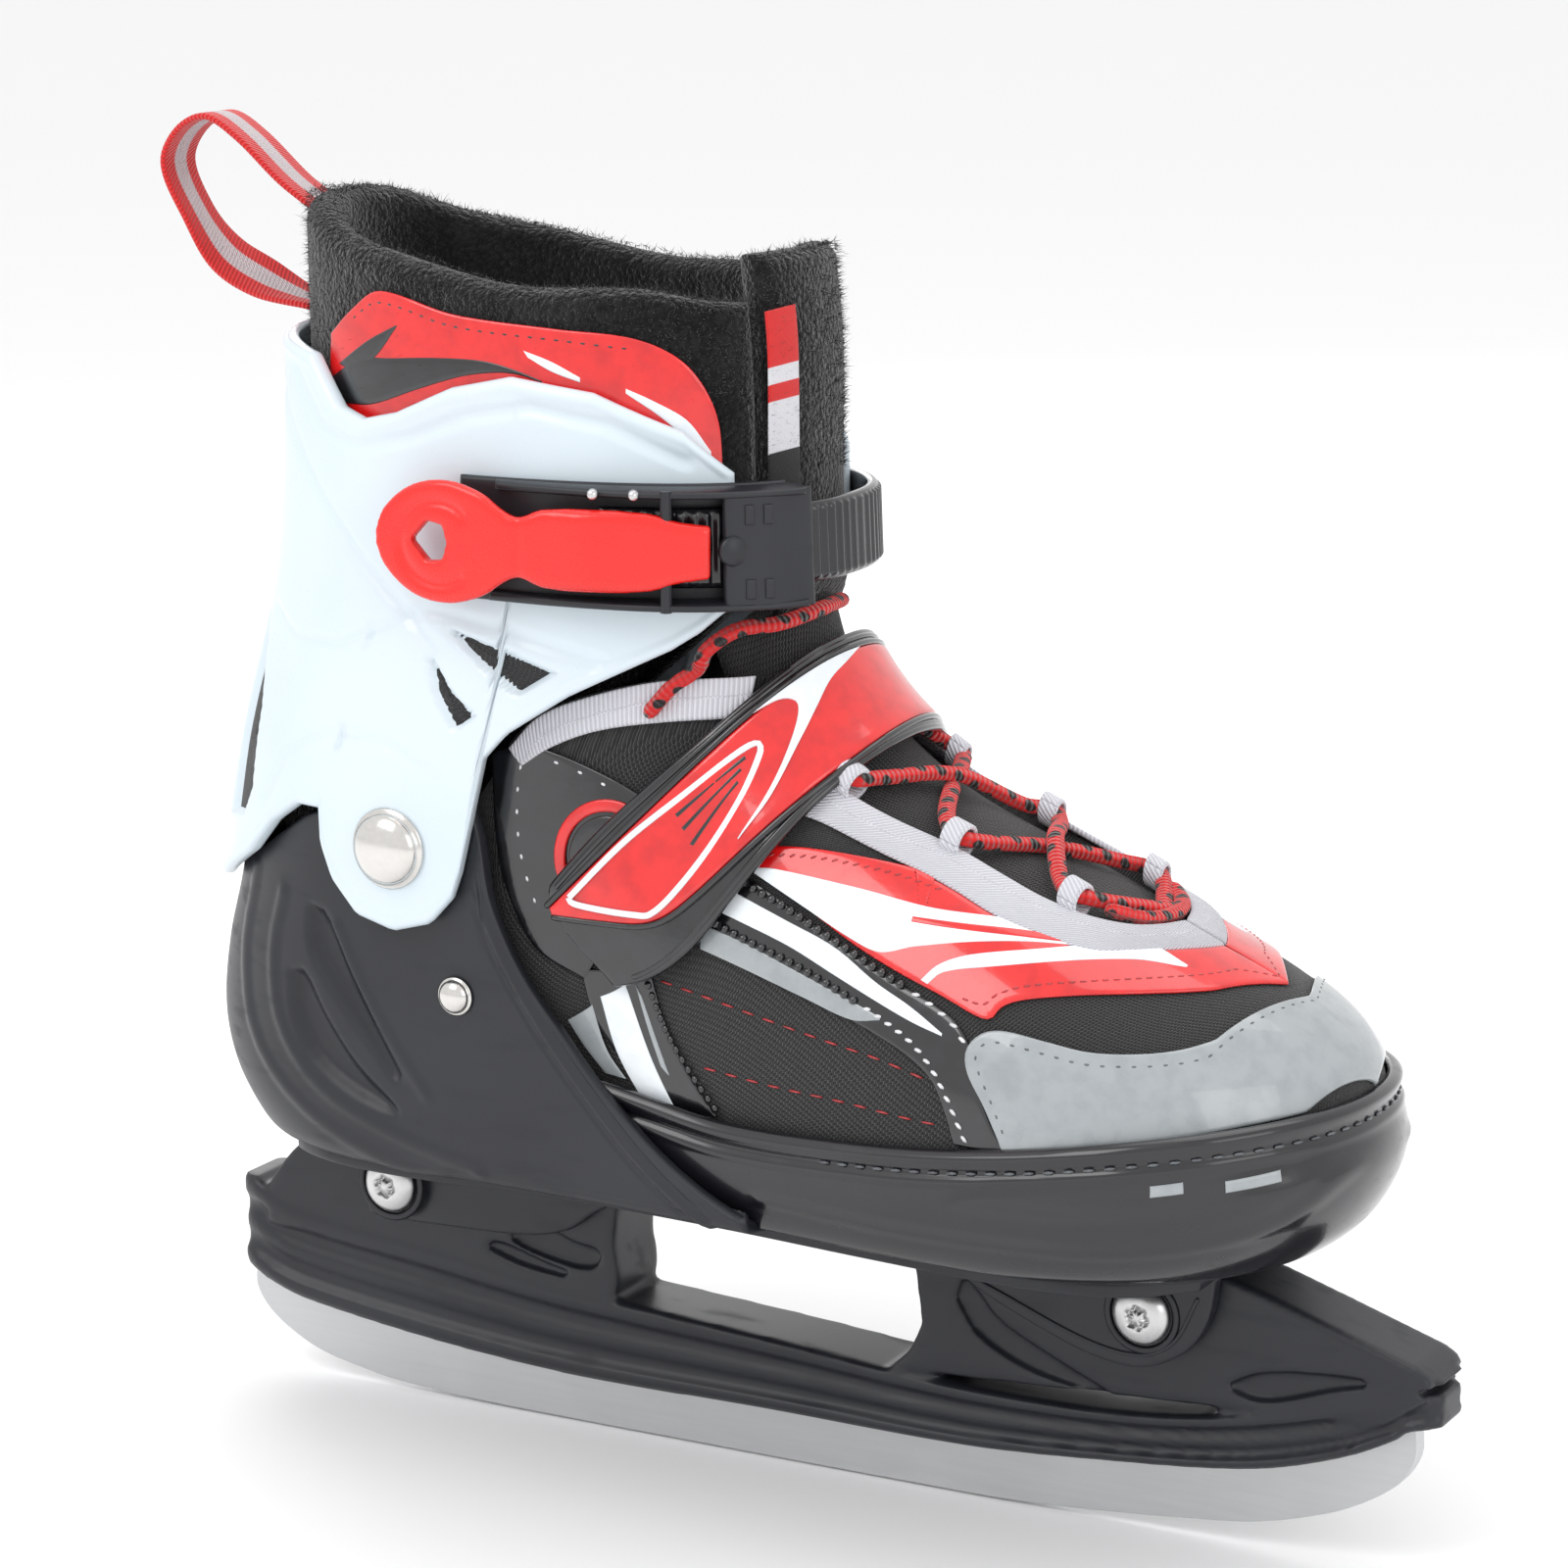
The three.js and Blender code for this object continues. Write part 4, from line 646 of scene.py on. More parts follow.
def lathe(profile, at, axis, sides, lobes=None):
    """A turned form: a profile of (radius, height) carried round an axis from at. lobes(radius index) swells the
    radius by its share of cos(6 turn)."""
    radius, height = np.array(profile, float).T
    axis = np.array(axis, float)
    side = np.cross(axis, (0.3, 0.1, 1.0))
    side /= np.linalg.norm(side)
    up = np.cross(side, axis)
    turn = np.linspace(0, 2 * np.pi, sides, endpoint=False)
    wave = 1 + np.outer(np.zeros(len(radius)) if lobes is None else lobes, np.cos(6 * turn))
    rings = (np.array(at, float) + height[:, None, None] * axis
             + (radius[:, None] * wave)[..., None] * (side * np.cos(turn)[:, None] + up * np.sin(turn)[:, None]))
    places = rings.reshape(-1, 3)
    faces = quads(len(radius), sides, ring=True)
    return places, outward(places, faces), places[:, [0, 2]] / 10


def loft(rings):
    """A closed form from rings of places that each go once round, with flat ends."""
    rings = np.asarray(rings, float)
    count = rings.shape[1]
    places = rings.reshape(-1, 3)
    faces = outward(places, quads(len(rings), count, ring=True))
    return places, faces, places[:, [0, 2]] / 10, \
        [list(range(count)), list(range(len(places) - count, len(places)))]


def prism(outline, y0, y1, rounding=0.8):
    """A flat outline of (x, z) carried across the skate, with its two edges rounded by rings drawn in."""
    outline = np.array(outline, float)
    after, before = np.roll(outline, -1, 0) - outline, outline - np.roll(outline, 1, 0)
    along = after / np.linalg.norm(after, axis=1, keepdims=True) + before / np.linalg.norm(before, axis=1, keepdims=True)
    normal = np.stack([along[:, 1], -along[:, 0]], -1)
    normal /= np.maximum(np.linalg.norm(normal, axis=1, keepdims=True), 1e-9)
    area = (outline[:, 0] * np.roll(outline[:, 1], -1) - np.roll(outline[:, 0], -1) * outline[:, 1]).sum()
    inward = -normal if area > 0 else normal
    a = np.radians([90, 60, 30, 0])
    inset = rounding * np.concatenate([1 - np.cos(a), 1 - np.cos(a[::-1])])
    depth = np.concatenate([y0 + rounding * (1 - np.sin(a)), y1 - rounding * (1 - np.sin(a[::-1]))])
    rings = outline[None] + inward[None] * inset[:, None, None]
    places = np.stack([rings[..., 0], np.broadcast_to(depth[:, None], rings.shape[:2]), rings[..., 1]], -1)
    return loft(places)


def mesh_object(name, places, faces, uv, lids=()):
    """An object from places in millimetres, its faces, their UVs in centimetres, and flat lids."""
    data = bpy.data.meshes.new(name)
    data.from_pydata(places * MM, [], [list(face) for face in faces.tolist()] + [list(lid) for lid in lids])
    corners = np.concatenate([faces.ravel(), *[np.array(lid) for lid in lids]]).astype(int)
    data.uv_layers.new(name="UVMap").uv.foreach_set("vector", uv[corners].astype(np.float32).ravel())
    data.polygons.foreach_set("use_smooth", [True] * len(faces) + [False] * len(lids))
    made = bpy.data.objects.new(name, data)
    bpy.context.scene.collection.objects.link(made)
    return made


def closed(made):
    """Merges doubles, closes open rims and turns every face outwards."""
    work = bmesh.new()
    work.from_mesh(made.data)
    bmesh.ops.remove_doubles(work, verts=work.verts, dist=MERGE)
    bmesh.ops.dissolve_degenerate(work, edges=work.edges, dist=MERGE)
    rims = [edge for edge in work.edges if edge.is_boundary]
    if rims:
        bmesh.ops.holes_fill(work, edges=rims)
    bmesh.ops.recalc_face_normals(work, faces=work.faces)
    work.to_mesh(made.data)
    work.free()
    return made


def dress(made, finish, body, replaced=""):
    """Gives a piece its finish and its body (none if body is empty), and hides the CAD nodes it stands for."""
    made.data.materials.clear()
    made.data.materials.append(finishes[finish])
    if body:
        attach(made, body)
    if replaced:
        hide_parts(*replaced.split())
    return made


def piece(name, parts, finish, body, replaced=""):
    """A piece of the skate from one or more closed parts."""
    return dress(mesh_object(name, *joined(parts)), finish, body, replaced)


def turned(name, profile, at, axis, sides, finish, body="frame", replaced="", lobes=None):
    """A turned piece of the skate."""
    return dress(closed(mesh_object(name, *lathe(profile, at, axis, sides, lobes))), finish, body, replaced)


def modified(made, kind, **settings):
    """Adds a modifier to an object."""
    step = made.modifiers.new(kind.lower(), kind)
    for key, value in settings.items():
        setattr(step, key, value)


def moulded(name, bodies, cuts, voxel, smoothing):
    """A moulding: closed bodies, with any lids of their own, melted into one even skin, cut by prisms and eased."""
    starts = np.cumsum([0] + [len(body[0]) for body in bodies[:-1]])
    lids = [[i + start for i in lid] for body, start in zip(bodies, starts) for lid in (body[3:] or [[]])[0]]
    made = closed(mesh_object(name, *joined(bodies), lids))
    modified(made, "REMESH", mode="VOXEL", voxel_size=voxel * MM)
    tools = [closed(mesh_object(name + "_tool", *cut)) for cut in cuts]
    for tool in tools:
        modified(made, "BOOLEAN", operation="DIFFERENCE", solver="MANIFOLD", object=tool)
    modified(made, "REMESH", mode="VOXEL", voxel_size=voxel * MM)
    modified(made, "SMOOTH", factor=0.5, iterations=smoothing)
    bpy.context.view_layer.update()
    data = bpy.data.meshes.new_from_object(made.evaluated_get(bpy.context.evaluated_depsgraph_get()))
    data.polygons.foreach_set("use_smooth", [True] * len(data.polygons))
    made.modifiers.clear()
    made.data = data
    for tool in tools:
        bpy.data.objects.remove(tool)
    return made


def bead_shape(detail):
    """The places and triangles of a small sphere."""
    work = bmesh.new()
    bmesh.ops.create_icosphere(work, subdivisions=detail, radius=1.0)
    places = np.array([vertex.co[:] for vertex in work.verts])
    faces = np.array([[vertex.index for vertex in face.verts] for face in work.faces])
    work.free()
    return places, faces


SMALL_BEAD, ROUND_BEAD = bead_shape(1), bead_shape(2)


def stitches(line, spacing, size, place=boot, grow=0.0, shape=SMALL_BEAD, side=1, weave=0.0):
    """Beads or stitches along a line of surface parameters: each is a small ellipsoid of size (long, wide, high)
    that lies along the line; weave turns each stitch from it, in degrees."""
    first, turn = line[:, 0], line[:, 1] * side
    path = place(first, turn, np.full(len(line), float(grow)))
    up = place(first, turn, np.full(len(line), grow + 0.5)) - path
    length = lengths(path, 0)
    count = max(2, int(length[-1] / spacing))
    at = (np.arange(count) + 0.5) * length[-1] / count
    middle, up, tangent = (read_at(at, length, values) for values in (path, up, np.gradient(path, axis=0)))
    tangent /= np.linalg.norm(tangent, axis=1, keepdims=True)
    up /= np.linalg.norm(up, axis=1, keepdims=True)
    across = np.cross(up, tangent)
    lean = np.radians(weave)
    tangent, across = tangent * np.cos(lean) + across * np.sin(lean), across * np.cos(lean) - tangent * np.sin(lean)
    base, faces = shape
    base = base * np.array(size) / 2
    places = (middle[:, None] + base[None, :, :1] * tangent[:, None] + base[None, :, 1:2] * across[:, None]
              + base[None, :, 2:] * up[:, None]).reshape(-1, 3)
    faces = (faces[None] + (np.arange(count) * len(base))[:, None, None]).reshape(-1, 3)
    return places, faces, places[:, [0, 2]] / 10


def even(line, count=96):
    """A line on the last read again at even distances."""
    length = lengths(boot(line[:, 0], line[:, 1], 0.0), 0)
    return read_at(np.linspace(0, length[-1], count), length, line)


def top_line(points):
    """A line on the last, as (s, turn), from its (x, y) points seen from above."""
    x, y = smooth_line(points).T
    return np.stack(from_top(x, np.abs(y) + 1e-3), -1)


def sewn(name, first, second, low, high, finish, replaced="", body="toe_box", rounding=0.7):
    """A layer between two lines on the last, made for each side of the skate."""
    for side, sign in SIDES.items():
        made = slab(between(first, second, sign), low, high, rounding, 1.3)
        piece(f"{name}_{side}", [made], finish, body, replaced and f"{replaced}_{side}")


def under(line, height, count=96):
    """The part of a line on the last that lies below a height, with its places spread evenly."""
    return even(line[boot(line[:, 0], line[:, 1], 0.0)[:, 2] < height], count)


# ------------------------------------------------------------------ runner, holder and chassis
runner_line = [(-135, 24), (-135.2, 18), (-132, 13), (-126, 8.6), (-118, 5), (-108, 2.8), (-99, 1.4), (-79, 0.3),
               (-60, 0), (46, 0), (60, 0.5), (75, 1.6), (92, 3.2), (109, 5.4), (124, 9.8), (133, 14.2), (140, 19.5),
               (143, 25), (143, 30)]
holder_low = through([(-135, 25), (-117, 19), (-58, 13), (1, 13), (46, 13), (75, 15), (110, 19), (130, 25), (144, 32)])
flange_top = through([(-131, 46), (-120, 41), (-85, 37), (-54, 33), (4, 29), (50, 26), (94, 28), (136, 38), (146, 43)])
SEAT = 10.5
TOWER = 9.5
LUG_FACE, LUG_OUTER = 9.8, 13.8


def runner():
    """The blade: its rockered foot, and a top that follows the holder's lower edge up inside it."""
    foot = smooth_line(runner_line, 170)
    top = np.array([(x, holder_low(x) + SEAT) for x in np.linspace(141, -133, 60)])
    places, faces, uv, lids = prism(np.concatenate([foot, top]), -2, 2, 0.35)
    return mesh_object("blade", places, faces, uv, lids)


# Each side's leaf-shaped presses, as outlines in the side view, and how deep they go.
LEAVES = [[(-58, 47), (-48, 43.5), (-41, 42), (-43, 38), (-54, 38.5), (-64, 42)],
          [(-72, 39.5), (-60, 36), (-44, 35), (-56, 38), (-66, 40.5)],
          [(44, 45), (49, 38), (62, 32), (80, 29.5), (66, 36), (54, 42), (46, 50)],
          [(104, 36), (112, 34), (128, 39), (138, 42), (126, 42), (112, 40)]]
LEAF_DEEP, PAST = 1.9, 30
REAR_TOWER = [(-127, 36), (-60, 30), (-38, 30), (-36.5, 36), (-38, 44), (-36, 59.3), (-114, 59.3), (-121, 53),
              (-127, 45)]
FRONT_TOWER = [(28, 27), (33, 32), (36, 38), (33, 59.3), (103, 59.3), (113, 56.5), (147, 45.5), (149, 41),
               (138, 33)]
NOSE_SLIT = [(145.5, 40.5), (153, 40.5), (153, 42.0), (145.5, 42.0), (145.5, 40.5)]
rib_swells = through([(0, 8.6), (0.07, 9.7), (0.17, 9.9), (0.25, 8.2), (0.36, 8.0), (0.44, 8.9), (0.54, 9.0),
                      (0.62, 8.0), (0.72, 8.0), (0.80, 9.6), (0.93, 10), (1, 8.8)])


def holder():
    """The holder: at each x an upright section whose half width swells at three ribs, joined with two towers."""
    share = np.linspace(0, 1, 34)
    rings = []
    for x in np.concatenate([np.linspace(-134.5, -126, 8), np.linspace(-124, 138, 100), np.linspace(140, 149.5, 9)]):
        ends = bulge(max(0, (x - 128) / 22.5), 2.4) * bulge(max(0, (-122 - x) / 13.5), 2.6)
        low, high = float(holder_low(x)), float(flange_top(x))
        if x > 142:
            low = 32 + (x - 142) * 0.2
        width = rib_swells(share) * (0.35 + 0.65 * ends)
        z = low + (high - low) * share
        across, up = np.concatenate([-width, width[::-1]]), np.concatenate([z, z[::-1]])
        rings.append(np.stack([np.full(len(up), x), across, up], -1))
    towers = [prism(smooth_line(line + line[:1], 80, sharp=True)[:-1], -TOWER, TOWER, 1.2)
              for line in (REAR_TOWER, FRONT_TOWER)]
    cuts = [prism(smooth_line(leaf + leaf[:1], 36)[:-1], *depth, 0.3)
            for leaf in LEAVES for depth in ((-PAST, LEAF_DEEP - TOWER), (TOWER - LEAF_DEEP, PAST))]
    cuts.append(prism(smooth_line(NOSE_SLIT, 24)[:-1], -20, 20, 0.2))
    return moulded("blade_holder", [loft(rings), *towers], cuts, 0.75, 2)


dress(runner(), "runner_steel", "frame", "blade")
dress(holder(), "satin_black", "frame", "blade_holder")

heel_top = through([(-140, 126), (-112, 129), (-103, 134), (-95, 139), (-89, 142), (-85, 149), (-79, 155),
                    (-70, 157), (-61, 155), (-54, 149), (-50, 140), (-48, 128), (-44, 118), (-39, 110), (-31, 101),
                    (-22, 91), (-9, 80), (3, 72), (15, 66)])
skirt_low = through([(-125, 50), (-113, 44), (-105, 42), (-80, 43), (-57, 44.3), (-47, 47), (-40, 52), (-30, 56.5),
                     (-16, 59.6), (15, 60)])
curl = through([(42, 0.368), (56, 0.37), (59, 0.43), (61, 0.6), (62.5, 0.86), (64, 0.97), (67, 1)])
curl_rear = through([(42, 0.86), (52, 0.88), (59, 0.95), (66, 1)])
VENTS = [[(-93, 119), (-89.5, 118), (-83, 106), (-75, 92), (-70.5, 84), (-77, 91), (-88, 104), (-93, 112), (-93, 119)],
         [(-98.5, 104), (-95.5, 104.5), (-90, 96), (-82, 86), (-72, 77.5), (-83, 80.5), (-93, 87), (-98, 96),
          (-98.5, 104)]]


def heel_form(u, z):
    """The heel shell, which curls in below the heel to the two lugs."""
    at = heel(u, z)
    x = np.where(at[..., 0] < -80, -80 + (at[..., 0] + 80) * curl_rear(z), at[..., 0])
    return np.stack([x, at[..., 1] * curl(z), at[..., 2]], -1)


def heel_surface(u, v, grow):
    """v runs from the lower edge to the upper edge, each found by bisection on its line in the side view."""
    u = np.clip(u, 0.0005, 0.9995)
    top = found(np.full(np.shape(u), 60.0), np.full(np.shape(u), 160.0), 24,
                lambda z: z < heel_top(heel_form(u, z)[..., 0]))
    bottom = skirt_low(heel_form(u, top * 0 + 56)[..., 0])
    return lifted(heel_form)(u, bottom + (top - bottom) * v, grow)


def inside(x, z, outline, soft=0.9):
    """1 inside a closed outline in the side view, 0 outside, soft across its edge."""
    within = np.zeros(np.shape(x), bool)
    for (ax, az), (bx, bz) in zip(outline, outline[1:]):
        crosses = (az > z) != (bz > z)
        within ^= crosses & (x < (bx - ax) * (z - az) / (bz - az if bz != az else 1e-9) + ax)
    signed = near(x, z, outline) * np.where(within, 1, -1)
    t = np.clip(signed / soft * 0.5 + 0.5, 0, 1)
    return t * t * (3 - 2 * t)


FRONT_EDGE = [(-49.5, 124), (-44, 113), (-33, 98), (-22, 86), (-10, 75), (4, 65)]
# Swept ribs: each one's line in the side view, its half width and its height.
HEEL_RIBS = [([(-101, 121), (-104, 108), (-102, 93), (-92, 81), (-74, 73), (-52, 68)], 2.6, 0.7),
             ([(-111, 124), (-114, 106), (-110, 88), (-96, 75), (-74, 66), (-48, 60)], 2.8, 0.6),
             ([(-86, 116), (-80, 104), (-72, 92), (-64, 82)], 2.2, 0.5),
             ([(-118, 60), (-96, 56), (-70, 57), (-46, 60), (-28, 62)], 2.4, 0.7)]
VENT_DEEP = 2.3


def heel_relief(places, _u, _v, _d):
    """Vents pressed in, a piping along the front edge, and swept ribs round and below the vents."""
    x, z = places[..., 0], places[..., 2]
    deep = sum(-VENT_DEEP * inside(x, z, smooth_line(vent, 30), 1.6) for vent in VENTS)
    edge = near(x, z, smooth_line(FRONT_EDGE, 24))
    raised = sum(high * swell(near(x, z, smooth_line(line, 20)), wide) for line, wide, high in HEEL_RIBS)
    return (deep + raised * (1 + deep / VENT_DEEP) + 0.55 * swell(edge, 1.3)
            - 0.3 * swell(np.abs(edge - 1.9), 0.9))


piece("chassis", [slab(heel_surface, -3, 0, 1.1, 1.0, heel_relief)], "satin_black", "frame",
      "chassis")
floor_half = through([(-116, 10), (-108, 24), (-85, 31), (-40, 29), (0, 31), (40, 35), (70, 37), (92, 33),
                      (104, 22)])


def plate(half, x0, x1, z0, z1, rounding=0.6):
    """A flat plate whose half width is half(x)."""
    def surface(u, v, grow):
        x = x0 + (x1 - x0) * u
        return np.stack([x, half(x) * (2 * v - 1), z0 + grow + 0 * x], -1)
    return slab(surface, 0, z1 - z0, rounding, 3)


piece("chassis_plate", [plate(floor_half, -112, 104, 59.6, 62.8)], "satin_black", "frame")
lug = smooth_line([(24, 60.5), (38, 57), (53, 48.5), (66, 43), (77, 39.4), (88, 38.6), (97, 43), (102, 50), (104, 60.5)],
                  60)
for side, sign in SIDES.items():
    made = prism(lug, *sorted((sign * LUG_FACE, sign * LUG_OUTER)), 0.9)
    dress(mesh_object(f"front_lug_{side}", *made), "satin_black", "frame")
    ring = smooth_line([(33, 57.5), (54, 50.5), (76, 42.6), (88, 41.4), (95, 45.2), (100, 55)], 60)
    rib = tube(np.stack([ring[:, 0], np.full(60, sign * LUG_OUTER), ring[:, 1]], -1), 0.45, 8)
    piece(f"lug_rib_{side}", [rib], "satin_black", "frame")

BOLTS = {"rear": (-91, 51.5), "front": (88, 50)}
dome_line = [(0, 2.7), (1.4, 2.7), (1.55, 1.2), (2.3, 1.2), (2.45, 2.6), (3.2, 2.55), (4.6, 2.1), (5.6, 1.3), (6.1, 0.5),
             (6.2, 0), (0, 0)]
nut_line = [(0, 3.6), (2.0, 3.5), (3.6, 3.0), (4.9, 2.1), (5.8, 1.1), (6.2, 0.4), (6.2, 0), (0, 0)]
bed_line = [(6.6, 0), (7.2, 0.5), (7.9, 0.5), (8.4, 0), (6.6, 0)]
# How much each place of the bolt's line is six-sided.
SOCKET_LOBES = np.array([0, 0.16, 0.16, 0.16, 0.14, 0, 0, 0, 0, 0, 0])
for end, (x, z) in BOLTS.items():
    turned(f"{end}_frame_bolt", dome_line, (x, -LUG_OUTER - 0.3, z), (0, -1, 0), 72, "zinc",
           replaced=f"{end}_frame_bolt", lobes=SOCKET_LOBES)
    turned(f"{end}_frame_nut", nut_line, (x, LUG_OUTER + 0.3, z), (0, 1, 0), 48, "zinc", replaced=f"{end}_frame_nut")
    turned(f"{end}_bolt_ring", bed_line, (x, -LUG_OUTER, z), (0, -1, 0), 48, "satin_black")


def rivet_line(radius, high, rim, flange):
    """A domed head above a thin flange ring."""
    a = np.linspace(np.pi / 2, 0.1, 9)
    return [(0, high)] + [(radius * np.cos(t), rim + (high - rim) * np.sin(t)) for t in a[1:]] + [
        (radius * 1.0, rim * 0.9), (flange, rim * 0.75), (flange + 0.3, rim * 0.4), (flange, 0), (0, 0)]


for side, sign in SIDES.items():
    turned(f"ankle_rivet_{side}", rivet_line(7.5, 4.4, 1.1, 8.3), (PIVOT[0], sign * (pivot_side + RUN), PIVOT[1]),
           (0, sign, 0), 64, "chrome", replaced=f"ankle_rivet_{side}")
    stud_side = float(boot_plan(STUD[0] + 4.2)) + HEEL_GAP + 0.3
    turned(f"shell_rivet_{side}", rivet_line(3.5, 2.6, 0.6, 3.9), (STUD[0], sign * stud_side, STUD[1]),
           (0, sign, 0), 40, "chrome", replaced=f"shell_rivet_{side}")
button_line = [(0, 3.2), (3.2, 3.0), (3.6, 3.6), (4.4, 3.5), (4.9, 3.0), (5, 2.2), (5, -3.3), (0, -3.3)]
turned("size_button", button_line, (-60, float(boot_plan(-60)) + HEEL_GAP, 84), (0, 1, 0), 48, "lever_red",
       "size_button", "size_button")

# ------------------------------------------------------------------ toe shell
rim_line = through([(-46, 94), (-13, 89), (8, 86.5), (42, 88), (69, 91), (98, 96), (120, 99), (142, 101)])


TOE_FOOT, GROOVE_DOWN = 63.3, 4.7
toe_lifted = lifted(toe, -1)
TOE_CREASE = [(16, 72), (50, 71.5), (90, 73), (112, 76), (124, 80), (131, 87)]
TOE_PANEL = [(62, 79), (84, 80), (108, 83), (121, 86), (128, 90), (124, 93), (108, 90.5), (84, 86), (66, 82),
             (62, 79)]


def toe_rim(u):
    """The height of the toe shell's rim at each u, by repeated reading of its line in the side view."""
    top = np.full(np.shape(u), 92.0)
    for _ in range(8):
        top = rim_line(toe(u, top)[..., 0])
    return top


def toe_surface(u, v, grow):
    """v runs from the shell's foot to its rim."""
    return toe_lifted(u, TOE_FOOT + (toe_rim(u) - TOE_FOOT) * v, grow)


def toe_relief(places, _u, _v, _d):
    """A rim bead with a stitched groove under it, and a long pressed panel on each side of the toe."""
    x, z = places[..., 0], places[..., 2]
    down = rim_line(x) - z
    return (0.75 * swell(np.abs(down - 1.9), 1.9) - 0.75 * swell(np.abs(down - GROOVE_DOWN), 1.1)
            + 0.35 * swell(np.abs(down - 6.6), 1.2) + 0.5 * swell(near(x, z, smooth_line(TOE_CREASE, 24)), 2.4)
            - 0.7 * inside(x, z, smooth_line(TOE_PANEL, 40), 2.2))


piece("toe_shell", [slab(toe_surface, -2.4, 0, 1.0, 1.0, toe_relief)], "gloss_black", "toe_box", "toe_shell")


def sole_half(x):
    """Half width of the toe box's sole."""
    return (boot_plan(x) + TOE_GAP - 1.5) * toe_tuck(64.0) * bulge(np.maximum(0, 1 - (117 - x) / 50), 2.1)


piece("toe_sole", [plate(sole_half, -44, 116.8, TOE_FOOT, 68.8, 1.2)], "satin_black", "toe_box")
groove_at = np.linspace(0.12, 0.88, 300)
groove = np.stack([groove_at, toe_rim(groove_at) - GROOVE_DOWN], -1)
piece("toe_rim_stitches", [stitches(groove, 4.2, (2.9, 0.8, 0.7), toe_lifted, -0.35)], "grey_thread",
      "toe_box")
half_round = np.linspace(0, 1, 200) * 0.5
half_round_x = toe(half_round, 88 + 0 * half_round)[:, 0]
MARK_WIDE, MARK_STEPS = 2.4, 24
for side, sign in SIDES.items():
    for i, (x0, x1, z0, z1) in enumerate([(103, 109, 86.6, 87.6), (116, 124.5, 87.6, 89.0)]):
        ends = np.interp([x0, x1], half_round_x, half_round)
        mark = np.stack([np.linspace(*ends, MARK_STEPS), np.linspace(z0, z1, MARK_STEPS)], -1)
        if sign == INNER:
            mark[:, 0] = 1 - mark[:, 0]

        def bar(u, v, grow, mark=mark):
            around, z = np.moveaxis(read_at(u, np.linspace(0, 1, MARK_STEPS), mark), -1, 0)
            return toe_lifted(around, z + MARK_WIDE * (v - 0.5), grow)
        piece(f"toe_mark_{side}_{i + 1}", [slab(bar, -0.9, -0.15, 0.5, 1.0)], "silver_patent", "toe_box")

# ------------------------------------------------------------------ textile boot
throat_edge = [(-10, -26), (0, -25), (14, -23), (27, -21.6), (45, -19.3), (59, -19.5), (68, -19.5), (77, -17.5),
               (84, -13), (88, -7), (90, -0.4)]
band_edge = [(-10, -32), (0, -31), (14, -29), (24, -27.5), (42, -26.6), (52, -27.2), (62, -28), (72, -27),
             (81, -24.5), (87, -19.5), (93, -12), (97, -5), (98.6, -0.4)]
throat_half = through([(x, -y) for x, y in throat_edge])
upper_top = through([(-118, 112), (-112, 120), (-90, 125), (-60, 140), (-50, 152), (-46, 159), (-39, 165.5), (-27, 170.5),
                     (-13, 174), (4, 175), (20, 180)])


def up_to(turn, edge, first=0.0):
    """The station, at each turn, where the last rises past a line of heights edge(x)."""
    def below(s):
        at = boot(s, turn, 0.0)
        return at[..., 2] < edge(at[..., 0])
    return found(np.full(np.shape(turn), first), np.full(np.shape(turn), float(LAST)), 26, below)


def upper_surface(u, v, grow):
    """u goes round the last from under the heel, v from the toe up to the upper's edge."""
    turn = (u - 0.5) * 2 * np.pi
    s = 0.02 + (up_to(turn, upper_top) - 0.02) * v
    return boot(s, turn, grow)


def upper_relief(places, _u, _v, _d):
    """The throat lies lower than the band round it, with a step at the throat's edge."""
    x, y = places[..., 0], places[..., 1]
    within = np.clip((throat_half(x) - np.abs(y)) / 2.5 + 0.4, 0, 1) * np.clip((90 - x) / 2.5, 0, 1)
    return np.where(places[..., 2] > 110, -4.6 * within, 0)


piece("upper", [slab(upper_surface, -2.6, 0, 1.2, 1.5, upper_relief)], "black_knit", "toe_box",
      "upper")


def padded_piece(name, parts, finish, body, replaced=""):
    """A padded piece, made just as piece() makes it."""
    made = piece(name, parts, finish, body, replaced)
    return made


tongue_side = under(top_line([(-8, -24), (0, -24), (14, -22), (27, -20.6), (45, -18.3), (59, -18.5), (68, -18.5),
                              (77, -16.5), (83, -12), (86, -6)]), 184, 64)


def tongue_surface(u, v, grow):
    """u goes along the tongue to its tip, v across it from side to side."""
    s, turn = np.moveaxis(read_at(u * (len(tongue_side) - 1), np.arange(len(tongue_side)), tongue_side), -1, 0)
    return boot(s, turn * (2 * v - 1), grow)


def quilted(places, _u, _v, _d):
    """Channels across the tongue about every 14 mm."""
    return 0.7 * np.abs(np.sin(places[..., 0] * np.pi / 14)) ** 0.5 - 0.5


padded_piece("tongue_lower", [slab(tongue_surface, -8.5, -3.6, 2.2, 1.5, quilted)], "black_knit",
             "toe_box", "tongue_lower")


def lining_edge(x):
    """The height of the lining's upper edge, which slopes up to the front."""
    return 136 + (x + 69) * np.tan(np.radians(17))


def lining_surface(u, v, grow):
    """u goes round the last, v from the toe up to the lining's edge."""
    turn = (u - 0.5) * 2 * np.pi
    return boot(1 + (up_to(turn, lining_edge, 1.0) - 1) * v, turn, grow)


lining = padded_piece("lining", [slab(lining_surface, -8.6, -3, 2.0, 3.2)], "black_pile", "",
                      "liner_toe liner_heel")
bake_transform(lining)


# ------------------------------------------------------------------ layers sewn on the boot
def ridge_at(x):
    """The (s, turn) on the ridge of the last at x."""
    return np.array([[np.interp(-x, -STATIONS[:, 2], np.arange(len(STATIONS))), 0.0]])


